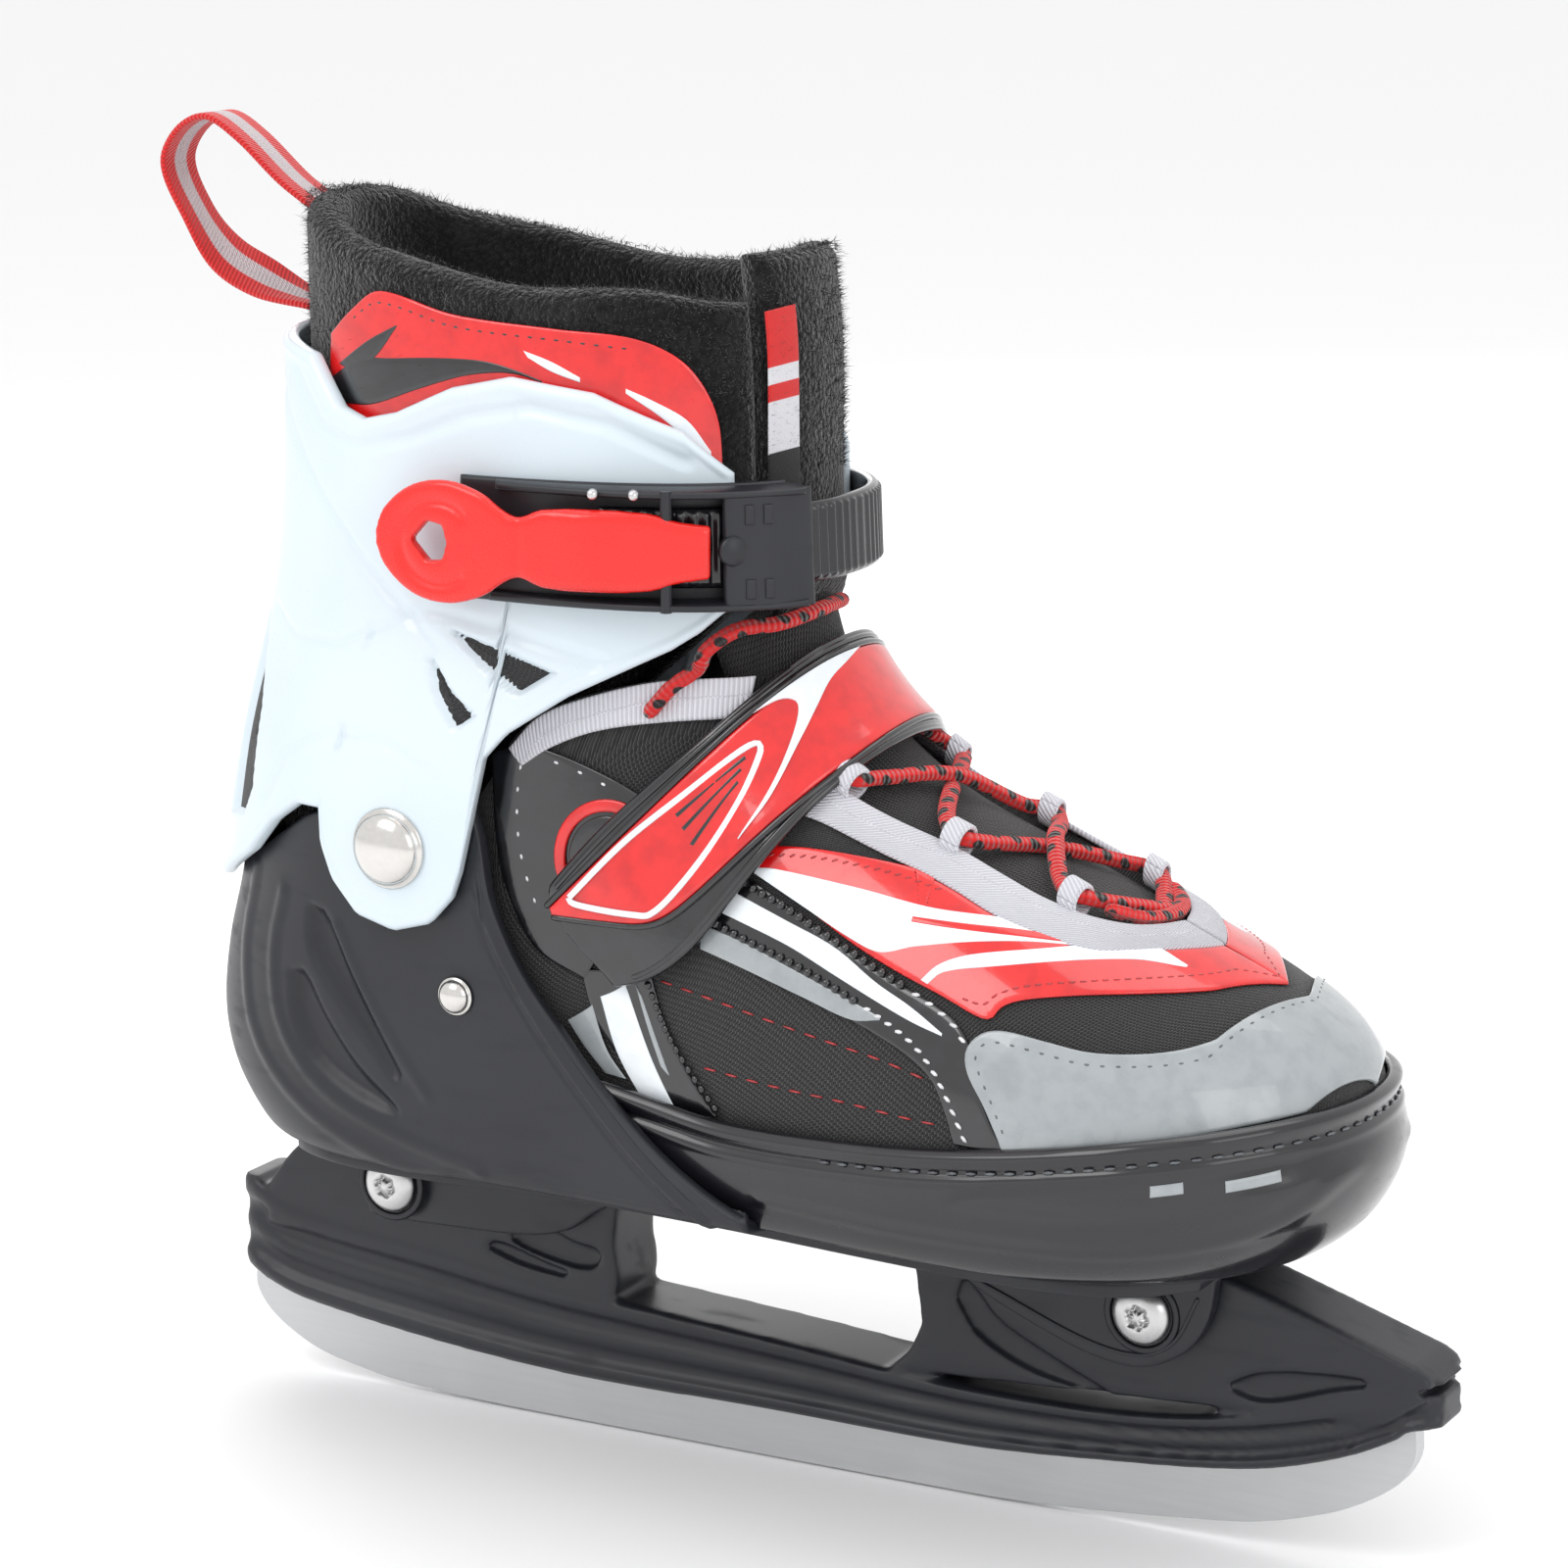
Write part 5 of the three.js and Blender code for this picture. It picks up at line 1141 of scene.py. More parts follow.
def ribbon(line, wide, low, high, place, rounding):
    """A strip of even width along a line of surface parameters, square to it at every place."""
    path, above = (place(line[:, 0], line[:, 1], np.full(len(line), h)) for h in (0.0, 1.0))
    up = (above - path) / np.linalg.norm(above - path, axis=1, keepdims=True)
    across = np.cross(up, np.gradient(path, axis=0))
    across /= np.linalg.norm(across, axis=1, keepdims=True)
    at = np.arange(len(line))

    def surface(u, v, grow):
        read = [read_at(u * (len(line) - 1), at, values) for values in (path, across, up)]
        return read[0] + read[1] * ((v - 0.5) * wide)[..., None] + read[2] * np.asarray(grow)[..., None]
    return slab(surface, low, high, rounding, 0.8)


def stitch_row(name, line, spacing, size, finish, grow, weave=0.0, shape=SMALL_BEAD, body="toe_box"):
    """A row of stitches or beads on each side of the skate."""
    for side, sign in SIDES.items():
        piece(f"{name}_{side}", [stitches(line, spacing, size, boot, grow, shape, sign, weave)], finish, body)


# The heights above the last of a sewn strip, a thin overlay, a strip's inset and a print.
STRIP, THIN, INSET, PRINT = (0.25, 0.95), (0.3, 1.15), (0.8, 1.2), (1.0, 1.35)
TRIM_TOP = 170
sewn("eyestay_band", under(top_line(throat_edge), TRIM_TOP), under(top_line(band_edge), TRIM_TOP), 0.3, 1.7,
     "white_tape")
sewn("ankle_band", side_line([(-46, 157.5), (-39, 164.8), (-27, 169.8), (-13, 173.2), (4, 174.2)]),
     side_line([(-43, 154), (-36, 158.6), (-26, 162.5), (-12, 165), (4, 166.4)]), 0.3, 1.6, "white_tape",
     rounding=0.6)
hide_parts("eyestay_trim")
band_front = top_line(band_edge[4:])
overlay_top = even(np.concatenate([side_line([(2, 141), (12, 142.4), (23, 142.4), (41, 140), (48, 138.2)]),
                                   band_front]))
overlay_low = even(np.concatenate([
    side_line([(2, 139), (12, 136.8), (34, 126.3), (43, 122.8), (56, 118.6), (65, 115.4), (67.5, 115.6), (68, 117.4),
               (72, 119), (82, 120), (92, 120), (104, 119.6)], 90), ridge_at(112.0)]))
sewn("vamp_overlay", overlay_top, overlay_low, *THIN, "red_patent", "vamp_overlay")
patent_up = side_line([(2, 139.6), (10, 136), (29, 127), (45, 120.4), (58, 115.4), (63, 111), (66, 104), (69, 97),
                       (73, 90.5)])
patent_low = side_line([(0, 122), (17, 117), (29, 114), (41, 110.5), (50, 107), (56, 103), (59, 98), (61.5, 91)])
sewn("side_strip", patent_up, patent_low, *STRIP, "black_patent")
# Each print or inset: its two edges in the side view, its finish and its heights.
PRINTS = {
    "side_flash": ([(10, 138), (15, 138.2), (32, 136), (48, 133.4), (64, 131.8), (74, 130), (83, 127.4)],
                   [(10, 137.4), (23, 131.6), (34, 126.9), (41, 125), (48, 126.6), (59, 128), (70, 128.2),
                    (83, 126.8)], "white_print", PRINT),
    "side_flash_line": ([(46, 131.6), (56, 130.9), (68, 129.9), (80, 127.9)],
                        [(46, 130.7), (56, 129.9), (68, 128.9), (80, 127.4)], "red_patent", (1.25, 1.5)),
    "low_flash": ([(51, 121), (54, 124), (60, 126), (73, 127.2), (82, 127.4), (88, 126.8), (97, 123)],
                  [(52.6, 120.4), (55, 122.6), (63, 124), (77, 125.2), (88, 124.8), (97, 122.8)], "white_print",
                  PRINT),
    "side_blade": ([(1, 135), (10, 132), (19, 129), (31, 125), (41, 119.8), (50, 116), (57.5, 112)],
                   [(1, 129.6), (10, 127.2), (21, 124), (32, 119.8), (42, 116.2), (51, 113.2), (57.5, 111.5)],
                   "white_print", INSET),
    "low_blade": ([(0, 126), (11, 123.4), (22, 120), (35, 116), (43.5, 113.4)],
                  [(0, 121), (11, 118.4), (26, 114.6), (37, 112), (43.5, 112.8)], "silver_patent", INSET),
    "rear_strip": ([(-29, 113), (-26, 104), (-19, 94.5), (-13, 87)], [(-12, 114), (-9, 106), (-4, 97), (4, 87)],
                   "black_patent", STRIP),
    "rear_flash": ([(-24, 108), (-20, 97), (-14, 87.6)], [(-18, 111.5), (-12, 98), (-6, 87)], "white_print", INSET),
    "rear_blade": ([(-32, 102), (-28, 97), (-23, 92)], [(-26, 106), (-22.5, 97), (-18, 91.5)], "silver_patent",
                   INSET),
    "rear_edge": ([(-15.5, 112), (-12.6, 104), (-9, 95.6)], [(-14, 109.6), (-10.6, 102), (-7, 94)],
                  "silver_patent", INSET)}
for name, (first, second, finish, heights) in PRINTS.items():
    sewn(name, side_line(first), side_line(second), *heights, finish, rounding=0.35)
BEAD, PLAIN, DASH, FINE = (2.0, 1.9, 1.5), (2.1, 0.9, 0.7), (3.7, 0.55, 0.5), (1.7, 0.6, 0.5)
# Each row: its line in the side view, spacing, size, finish, height above the last, lean in degrees and shape.
ROWS = {
    "bead_row_high": ([(1, 138.4), (10, 134.6), (19, 131.2), (30, 126.4), (41, 122), (48, 119.4)], 2.35, BEAD,
                      "black_patent", 1.3, 0, ROUND_BEAD),
    "bead_row_low": ([(0, 127.6), (10, 124.4), (22, 121), (32, 117.6), (38, 115.4)], 2.35, BEAD, "black_patent",
                     1.2, 0, ROUND_BEAD),
    "stitch_row_high": ([(49, 119), (55, 116.4), (60, 113.4), (63, 110)], 2.9, (2.2, 0.9, 0.7), "white_thread",
                        1.1, 24),
    "stitch_row_low": ([(39, 115), (45, 112.6), (51, 109.6), (56, 105.4), (60, 100), (63, 94.6), (64.6, 91.4)], 2.7,
                       PLAIN, "white_thread", 1.1, 24),
    "rear_bead_row": ([(-13, 113), (-7, 102), (5, 88)], 2.3, (1.9, 1.7, 1.3), "black_patent", 1.0, 0, ROUND_BEAD),
    "red_stitch_high": ([(-11, 113), (6, 110.4), (22, 108), (32, 106.6), (44, 105), (55, 102.6)], 4.9, DASH,
                        "red_thread", 0.15),
    "red_stitch_low": ([(0, 96.4), (17, 95.4), (36, 95), (51, 94.2), (58, 94)], 4.9, DASH, "red_thread", 0.15),
    "overlay_stitch_high": ([(4, 140.2), (14, 140.7), (24, 140.7), (40, 138.4), (50, 136)], 2.2, FINE,
                            "red_thread", 1.1, 30)}
for name, (line, *how) in ROWS.items():
    stitch_row(name, side_line(line), *how)
overlay_hem = side_line([(60, 118.6), (65, 117.8), (67, 119.6), (72, 121.2), (82, 122), (92, 122), (104, 121.4)], 60)
stitch_row("overlay_stitch_low", even(np.concatenate([overlay_hem, ridge_at(110.2)])), 2.2, FINE, "red_thread", 1.1)

patch_low = side_line([(-50, 156), (-49.5, 140), (-47, 128), (-40, 116), (-28, 111)])
patch_top = side_line([(-43, 159), (-34, 156.8), (-23, 153), (-14, 149), (-4, 145)])
sewn("ankle_patch", patch_low, patch_top, *THIN, "black_patent", "ankle_patch")
DOT = (1.3, 0.7, 0.6)
stitch_row("patch_stitch", side_line([(-43, 156), (-44, 149), (-44, 141), (-42.5, 133), (-39, 124)]), 4.6, DOT,
           "white_thread", 1.15)
stitch_row("patch_stitch_top", side_line([(-38, 156), (-31, 154), (-22, 150.6)]), 4.6, DOT, "white_thread", 1.15)
BADGE = (-23.0, 136.5)
for side, sign in SIDES.items():
    for name, inner, outer, height, finish in (("badge_ring", 9.6, 12.2, 2.0, "red_patent"),
                                               ("badge_disc", 0.2, 8.8, 1.7, "black_patent")):
        def badge(u, v, grow, inner=inner, outer=outer, sign=sign):
            reach = inner + (outer - inner) * v
            s, turn = from_side(BADGE[0] + reach * np.cos(2 * np.pi * u), BADGE[1] + reach * np.sin(2 * np.pi * u))
            return boot(s, sign * turn, grow)
        piece(f"{name}_{side}", [slab(badge, 0.9, height, 0.6, 1.5)], finish, "toe_box")

cap_rear = side_line([(72.6, 91), (68, 99.6), (63.8, 105.6), (63, 109.6), (65.6, 112.8), (70, 113.6), (79, 112.2),
                      (87, 110.8), (96, 110.6), (103, 111.2), (108, 112.4)], 90)
cap_top = even(np.concatenate([cap_rear, ridge_at(116.5)]))
cap_low = even(np.concatenate([side_line([(73.6, 90.4), (85, 92.4), (98, 94.6), (108, 96.4), (118, 98), (125, 99)]),
                               [[0.35, 0.0]]]))
cap_top[-1, 1] = cap_low[-1, 1] = -0.05
sewn("toe_cap", cap_top, cap_low, 0.3, 1.4, "silver_patent", rounding=0.8)
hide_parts("toe_cap")
cap_seam = side_line([(73, 94), (69.4, 101), (66, 106.6), (65.4, 109.4), (67, 111), (70, 111.4), (79, 110),
                      (87, 108.6), (96, 108.4), (103, 108.8), (108, 109.6)], 90)
stitch_row("cap_stitch", even(np.concatenate([cap_seam, ridge_at(118.2)])), 3.0, (1.5, 0.8, 0.5), "grey_thread", 1.25)

# ------------------------------------------------------------------ lace and its loops
LOOP_AT = {"outer": [(73, -15.5), (48, -17.5), (25, -20)], "inner": [(77, 14.5), (52, 17), (29, 19.5)]}


def on_top(x, y, grow):
    """A place above the throat: on the last at (x, y) from above, raised by grow."""
    s, turn = from_top(np.asarray(x, float), np.abs(np.asarray(y, float)) + 1e-3)
    return boot(s, np.sign(np.asarray(y, float) + 1e-6) * turn, np.asarray(grow, float))


out_side, in_side = LOOP_AT["outer"], LOOP_AT["inner"]
RUNS = [[(86, -6, 0.2), (84, 3, -0.4), (*in_side[0], 2.4), (70, 12, 0.6), (60, 0, -0.8), (52, -14, 0.8),
         (*out_side[1], 2.4), (43, -13, 0.6), (38, 0, -0.8), (33, 14, 0.8), (*in_side[2], 2.4), (23, 13, 0.6),
         (16, 0, -0.8)],
        [(86.6, 6, 0.2), (83, -4, 0.8), (*out_side[0], 2.4), (68, -12, 0.6), (61, 0, 1.6), (56, 13, 0.8),
         (*in_side[1], 2.4), (48, 13, 0.6), (38, 1, 1.6), (29, -15, 0.8), (*out_side[2], 2.4), (20, -16, 0.6),
         (14, -2, 1.4)]]
lace_runs = [smooth_line(on_top(*np.array(run).T), 200) for run in RUNS]
upper_run = smooth_line([(9, 6, 186.5), (10, -6, 186.5), (6.4, -17, 185), (1, -24, 184.4), (-3.6, -28.4, 180.6),
                         (-5.6, -28.8, 176.6), (-10, -31.4, 173), (-14, -33, 168)], 90)
front_run = smooth_line(on_top(*np.array([(80, -13, 1.6), (85, -8.6, 1.2), (87.4, 0, 1.0), (86, 7, 1.2),
                                          (82, 12, 1.4)]).T), 60)
piece("lace", [tube(run, 1.85, 12, 0.85) for run in (*lace_runs, upper_run, front_run)], "red_lace", "toe_box",
      "lace")
for side, places in LOOP_AT.items():
    for i, (x, y) in enumerate(places):
        middle, ahead, above = on_top([x, x + 2, x], [y, y, y], [1.9, 1.9, 4.0])
        along = (ahead - middle) / np.linalg.norm(ahead - middle)
        up = (above - middle) / np.linalg.norm(above - middle)
        across = np.cross(along, up)

        def loop(u, v, grow, middle=middle, along=along, up=up, across=across):
            a = 2 * np.pi * u[..., None] + 0.4
            ring = across * np.cos(a) * 1.25 + up * np.sin(a)
            return middle + ring * (2.5 + np.asarray(grow)[..., None]) + along * ((v - 0.5) * 4.4)[..., None]
        piece(f"lace_loop_{side}_{i + 1}", [slab(loop, 0, 0.9, 0.4, 0.7)], "white_tape", "toe_box",
              f"lace_loop_{side}_{i + 1}")

# ------------------------------------------------------------------ instep strap
STRAP_FIRST, STRAP_LAST = -100.0, 96.0


def strap_surface(u, v, grow):
    """u runs from the free end over the instep to the sewn end; the free end is rounded off aslant."""
    turn = STRAP_FIRST + (STRAP_LAST - STRAP_FIRST) * u
    half = strap_wide(np.abs(turn)) / 2
    low_side = half * bulge(np.clip((-66 - turn) / 40, 0, 1), 2.0)
    high_side = half * bulge(np.clip((-93 - turn) / 7.5, 0, 1), 2.2)
    across = -high_side + (high_side + low_side) * v
    return strap(turn, across, grow)


def strap_piece(name, parts, finish, replaced=""):
    """A piece of the strap, which lies over the instep; it gets no body and its transform is baked into its mesh."""
    made = piece(name, parts, finish, "", replaced)
    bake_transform(made)
    return made


strap_piece("instep_strap", [slab(strap_surface, 2.2, 4.4, 1.1, 1.6)], "black_patent",
            "instep_strap strap_base")
pad_up = smooth_line([(-98, -12.6), (-70, -11.2), (-41, -9.8), (-20, -9.2), (0, -8.8), (25, -8.9), (60, -11),
                     (90, -12)], 120)
pad_low = smooth_line([(-99, -11.2), (-90, -4), (-77, 5.2), (-65, 8.2), (-38, 9.7), (-19, 10.2), (6, 9.2), (25, 9),
                      (60, 11), (90, 12)], 120)
pad = slab(between(pad_up, pad_low, 1, strap), 4.0, 5.5, 1.2, 1.5)
strap_piece("strap_pad", [pad], "red_patent")
piping = [tube(strap(line[:, 0], line[:, 1] + shift, 4.7), 0.75, 8)
          for line, shift in ((pad_up, -0.7), (pad_low, 0.7))]
roll_at = (np.linspace(-92, 95, 120) - STRAP_FIRST) / (STRAP_LAST - STRAP_FIRST)
rolls = [tube(strap_surface(roll_at, np.full(120, v), 4.0), 0.7, 8) for v in (0.06, 0.94)]
strap_piece("strap_piping", piping + rolls, "black_patent")
flash_edges = [
    smooth_line([(-28, -9.5), (-22.5, -8), (-20.5, -5.6), (-23, -2.5), (-30, 2), (-37, 5), (-46, 7.2)]),
    smooth_line([(0, -8.6), (-6, -7), (-12, -5.5), (-18, -2.5), (-24, 0.5), (-36, 5.7), (-46, 7.5)])]
flash = slab(between(*flash_edges, 1, strap), 5.3, 6.0, 0.3, 1.2)
strap_piece("strap_flash", [flash], "white_print")
corner = [(-90, -10.6), (-65, -9.6), (-46, -7.2), (-34, -5.6), (-30.6, -4.4), (-31.4, -2.6), (-40, 1.6), (-52, 4.4),
          (-66, 5.4), (-74.6, 4.6), (-78, 2.2), (-84, -3), (-90, -8.8), (-90.6, -10.2), (-90, -10.6)]
frame_line = smooth_line(corner, 150)
piece("strap_frame", [ribbon(frame_line, 1.35, 5.5, 6.25, strap, 0.25)], "white_print", "instep_strap")
for i, ends in enumerate([[(-52, -5.4), (-34, -3.9)], [(-53, -2.4), (-36, -2.7)], [(-54, 1.2), (-38, -1.2)]]):
    streak = np.linspace(*ends, 16)
    piece(f"strap_streak_{i + 1}", [ribbon(streak, 0.95, 5.5, 6.15, strap, 0.3)], "black_patent",
          "instep_strap")
anchor = slab(lambda u, v, grow: strap(97 + 12 * u, (v - 0.5) * 31, grow), 0.4, 4.4, 1.3, 1.6)
piece("strap_anchor", [anchor], "black_patent", "toe_box", "strap_anchor")


# ------------------------------------------------------------------ cuff
CUFF_LOW = np.array([(-140, 118), (-131, 119), (-125, 120), (-110, 129), (-102, 137), (-94, 142), (-87.5, 142),
                     (-87, 134), (-84, 127), (-78, 120.5), (-69, 118), (-60, 120.5), (-54, 127), (-51.5, 136),
                     (-51, 144), (-49, 154), (-42, 162), (-29, 170.5), (-17, 176.5), (-9, 180.5), (-4, 184),
                     (0, 188), (3, 190)])
CUFF_HIGH = np.array([(-140, 239), (-114, 239), (-95, 236), (-86, 226), (-79, 224), (-70, 226), (-56, 232), (-42, 235),
                      (-24, 232.5), (-7, 225), (2, 216)])
CUFF_OPEN = np.radians(34)
cuff_turns = np.linspace(-CUFF_OPEN, CUFF_OPEN - 2 * np.pi, 900)


def cuff_edge(line):
    """The height, at each turn of the cuff, where it meets a line of (x, z)."""
    return found(np.full(len(cuff_turns), 100.0), np.full(len(cuff_turns), 242.0), 24,
                 lambda z: z < np.interp(cuff(cuff_turns, z)[:, 0], *line.T))


cuff_low, cuff_high = cuff_edge(CUFF_LOW), cuff_edge(CUFF_HIGH)


def cuff_surface(u, v, grow):
    """u runs round the cuff from its outer front edge over the heel to its inner front edge, v up."""
    at = u * (len(cuff_turns) - 1)
    low, high = (np.interp(at, np.arange(len(cuff_turns)), edge) for edge in (cuff_low, cuff_high))
    return cuff(-CUFF_OPEN - u * 2 * (np.pi - CUFF_OPEN), low + (high - low) * v, grow)


WINDOWS = [[(-111, 179), (-108, 160), (-109, 143), (-112, 137), (-119.5, 135.5), (-118.5, 150), (-114.5, 170)],
           [(-61, 177), (-56, 170), (-50, 165), (-54, 162), (-59, 169)],
           [(-57, 182.5), (-45, 179), (-33, 175), (-40, 170.5), (-49, 176)]]
CREASES = [[(-100, 232), (-90, 221), (-79, 218), (-66, 221), (-52, 226.5), (-38, 229), (-22, 226), (-8, 219)],
           [(-112, 232), (-104, 222), (-92, 208), (-80, 196), (-66, 184), (-60, 178)],
           [(-106, 180), (-98, 176), (-84, 176), (-70, 182), (-62, 186), (-44, 183), (-24, 178)],
           [(-104, 142), (-98, 152), (-86, 158), (-70, 158), (-58, 152)]]


def cuff_relief(places, _u, _v, d):
    """Sunk windows, an embossed line under the upper edge, soft creases and a low rim."""
    x, z = places[..., 0], places[..., 2]
    rise = 0.35 * swell(np.abs(d - 2.0), 1.6)
    for depth, crease in zip((0.75, 0.9, 0.8, 0.7), CREASES):
        rise = rise - depth * swell(near(x, z, crease), 2.4)
    rise = rise + 1.1 * swell(near(x, z, [(-69, 136), (-69, 136.1)]), 15)
    for window in WINDOWS:
        rise = rise - 2.1 * np.clip(inside(x, z, window + window[:1], 0.7), 0, 1)
    return rise


piece("cuff", [slab(cuff_surface, -3, 0, 1.2, 1.0, cuff_relief)], "cuff_white", "cuff", "cuff")


def on_cuff(x, z, grow):
    """The place on the outer side of the cuff that is seen from the side at (x, z)."""
    x, z, grow = np.broadcast_arrays(*(np.asarray(value, float) for value in (x, z, grow)))
    mid = cuff_mid(z)
    reach = np.where(x > mid, cuff_front(z) - mid, mid - cuff_rear(z))
    share = np.clip(np.abs(x - mid) / reach, 0, 1) ** (CUFF_ROUND / 2)
    return cuff(-np.where(x > mid, np.arccos(share), np.pi - np.arccos(share)), z, grow)


for side, sign in SIDES.items():
    for i, window in enumerate(WINDOWS):
        outline = np.array(window + window[:1], float)
        centre = outline[:-1].mean(0)

        def cloth(u, v, grow, outline=outline, centre=centre, sign=sign):
            edge = read_at(u * (len(outline) - 1), np.arange(len(outline)), outline)
            at = centre + (edge - centre) * (0.03 + 0.95 * v[..., None])
            return on_cuff(at[..., 0], at[..., 1], grow) * np.array([1, 1 if sign == OUTER else -1, 1])
        piece(f"cuff_window_{side}_{i + 1}", [slab(cloth, -2.3, -1.5, 0.3, 1.2)], "ribbed_knit", "cuff")


# ------------------------------------------------------------------ collar
COLLAR_OPEN = 0.43
collar_top = through([(-130, 268), (-111, 267), (-96, 261), (-72, 256.5), (-45, 252.5), (-17, 253), (-4, 251),
                      (20, 250)])
collar_turns = np.linspace(-COLLAR_OPEN, COLLAR_OPEN - 2 * np.pi, 500)
collar_low = up_to(collar_turns, lambda x: 137 + (np.maximum(x, -100) + 69) * np.tan(np.radians(40)) + 6)
collar_high = up_to(collar_turns, collar_top)


def collar_surface(u, v, grow):
    """u runs round the collar from its outer front edge over the heel, v up."""
    at = u * (len(collar_turns) - 1)
    low, high = (np.interp(at, np.arange(len(collar_turns)), edge) for edge in (collar_low, collar_high))
    s = low + (high - low) * v
    under = np.clip((s - low) / np.maximum(high - low, 1e-6), 0, 1)
    return boot(s, -COLLAR_OPEN - u * 2 * (np.pi - COLLAR_OPEN), np.minimum(grow, -5 + 40 * under))


def fibres(surface, count, low, long, spread_u=(0, 1), spread_v=(0, 1)):
    """Short pile: thin triangles on the surface at height low, each leaning its own way."""
    u, v = rng.uniform(*spread_u, count), rng.uniform(*spread_v, count)
    root = surface(u, v, np.full(count, low))
    up = surface(u, v, np.full(count, low + 1.0)) - root
    up /= np.maximum(np.linalg.norm(up, axis=1, keepdims=True), 1e-6)
    lean = rng.normal(0, 0.55, (count, 3))
    tip = root + (up + lean) * (long * rng.uniform(0.6, 1.2, (count, 1)))
    across = rng.normal(0, 1, (count, 3))
    across /= np.linalg.norm(across, axis=1, keepdims=True)
    places = np.stack([root + across * 0.09, root - across * 0.09, tip], 1).reshape(-1, 3)
    return places, np.arange(3 * count).reshape(-1, 3), places[:, [0, 2]] / 10


padded_piece("collar", [slab(collar_surface, -8.5, -0.2, 4.0, 1.8)], "black_pile", "cuff", "collar")
piece("collar_pile", [fibres(collar_surface, 15000, -0.5, 1.3, (0, 1), (0.62, 1.0)),
                      fibres(lambda u, v, grow: collar_surface(u, np.ones_like(u), -8 + 8 * v), 7000, 0, 1.5)],
      "black_pile", "cuff")
sewn("collar_panel", side_line([(-91, 240), (-84, 245.6), (-76, 250), (-57, 246.4), (-34, 244.6), (-18, 243),
                                (-9, 238), (-4, 228), (-3, 214)]),
     side_line([(-93, 222), (-86, 219), (-79, 217), (-70, 219), (-56, 225), (-42, 228), (-24, 226),
                (-12, 219), (-6, 209)]), 0.25, 1.15, "red_patent", "collar_panel", "cuff")
# Each print on the collar: its two edges in the side view and its finish.
COLLAR_PRINTS = {
    "collar_swoosh": ([(-92, 230), (-86, 233.5), (-79, 236), (-74, 236.4), (-61, 237.4), (-50, 237.4), (-43, 236),
                       (-37, 234)],
                      [(-92, 226), (-86, 226), (-78, 226.6), (-66, 230.6), (-55, 234), (-47, 235.2), (-42, 235),
                       (-37, 233.6)], "black_patent"),
    "collar_spike": ([(-88, 234), (-79, 239.6), (-71, 243.4)], [(-84, 233), (-77, 236.4), (-71, 243)],
                     "black_patent"),
    "collar_flame_1": ([(-41, 240), (-35, 238), (-29, 235)], [(-40, 238.6), (-35, 236), (-29, 234)], "white_print"),
    "collar_flame_2": ([(-20, 233), (-15, 230.6), (-9, 226.6), (-5, 220)],
                       [(-20, 232), (-14, 227.6), (-9, 222.6), (-5, 218)], "white_print")}
for name, (first, second, finish) in COLLAR_PRINTS.items():
    sewn(name, side_line(first), side_line(second), *PRINT, finish, body="cuff", rounding=0.3)
stitch_row("panel_stitch", side_line([(-84, 243.4), (-76, 247.6), (-57, 244), (-34, 242.4), (-19, 241)]), 2.8,
           (1.5, 0.6, 0.4), "black_patent", 1.05, body="cuff")


def upper_tongue(u, v, grow):
    """The tall part of the tongue: u up, v across."""
    s = TONGUE_FIRST + (TONGUE_LAST - TONGUE_FIRST) * u
    return boot(s, (2 * v - 1) * 0.41, grow)


TONGUE_FIRST, TONGUE_LAST = (float(up_to(np.array([0.0]), lambda x, z=z: z + 0 * x)[0]) for z in (191.5, 260))
padded_piece("tongue_upper", [slab(upper_tongue, -8.5, 0.6, 3.8, 1.6)], "black_pile", "cuff",
             "tongue_upper")
piece("tongue_pile", [fibres(upper_tongue, 4000, 0.4, 1.3, (0.35, 1)),
                      fibres(lambda u, v, grow: upper_tongue(np.full_like(u, 0.995), u, -7 + 7 * v), 1500, 0, 1.6)],
      "black_pile", "cuff")
LABEL_FIRST, LABEL_LAST = (float(up_to(np.array([0.2]), lambda x, z=z: z + 0 * x)[0]) for z in (212, 249))
label = slab(lambda u, v, grow: boot(LABEL_LAST + (LABEL_FIRST - LABEL_LAST) * u, -0.41 + 0.19 * v, grow), 0.7, 1.5, 0.5,
             1.0)
piece("tongue_label", [label], "label_cloth", "cuff")

loop_path = smooth_line([(-112.2, 263), (-120, 268), (-131, 277), (-139, 281), (-146, 278), (-150, 271), (-146.4, 262),
                         (-138, 251.4), (-128, 246), (-119, 242.8), (-112.6, 241.4)], 90)
loop_along = np.gradient(loop_path, axis=0)
loop_along /= np.linalg.norm(loop_along, axis=1, keepdims=True)


def loop_surface(u, v, grow):
    """Tape 12 mm wide along the path, turned a little on itself near its lower end."""
    at = u * 89
    x, z, ax, az = (np.interp(at, np.arange(90), values) for values in (*loop_path.T, *loop_along.T))
    twist = np.radians(28) * swell(np.abs(u - 0.8), 0.2)
    across = (v - 0.5) * 12
    rise = grow * np.cos(twist) + across * np.sin(twist)
    return np.stack([x - az * rise, across * np.cos(twist) - grow * np.sin(twist), z + ax * rise], -1)


piece("pull_loop", [slab(loop_surface, -0.7, 0.7, 0.5, 1.2)], "loop_tape", "cuff", "pull_loop")


# ------------------------------------------------------------------ buckle, lever and toothed strap
def cuff_band(first, last, low_z, high_z, low, high, rounding=0.6, cell=1.2, shape=None):
    """A layer on the cuff between two turns in degrees and two heights; shape(u) scales its height above low."""
    def surface(u, v, grow):
        height = grow if shape is None else low + (grow - low) * shape(u)
        return cuff(np.radians(first + (last - first) * u), low_z + (high_z - low_z) * v, height)
    return slab(surface, low, high, rounding, cell)


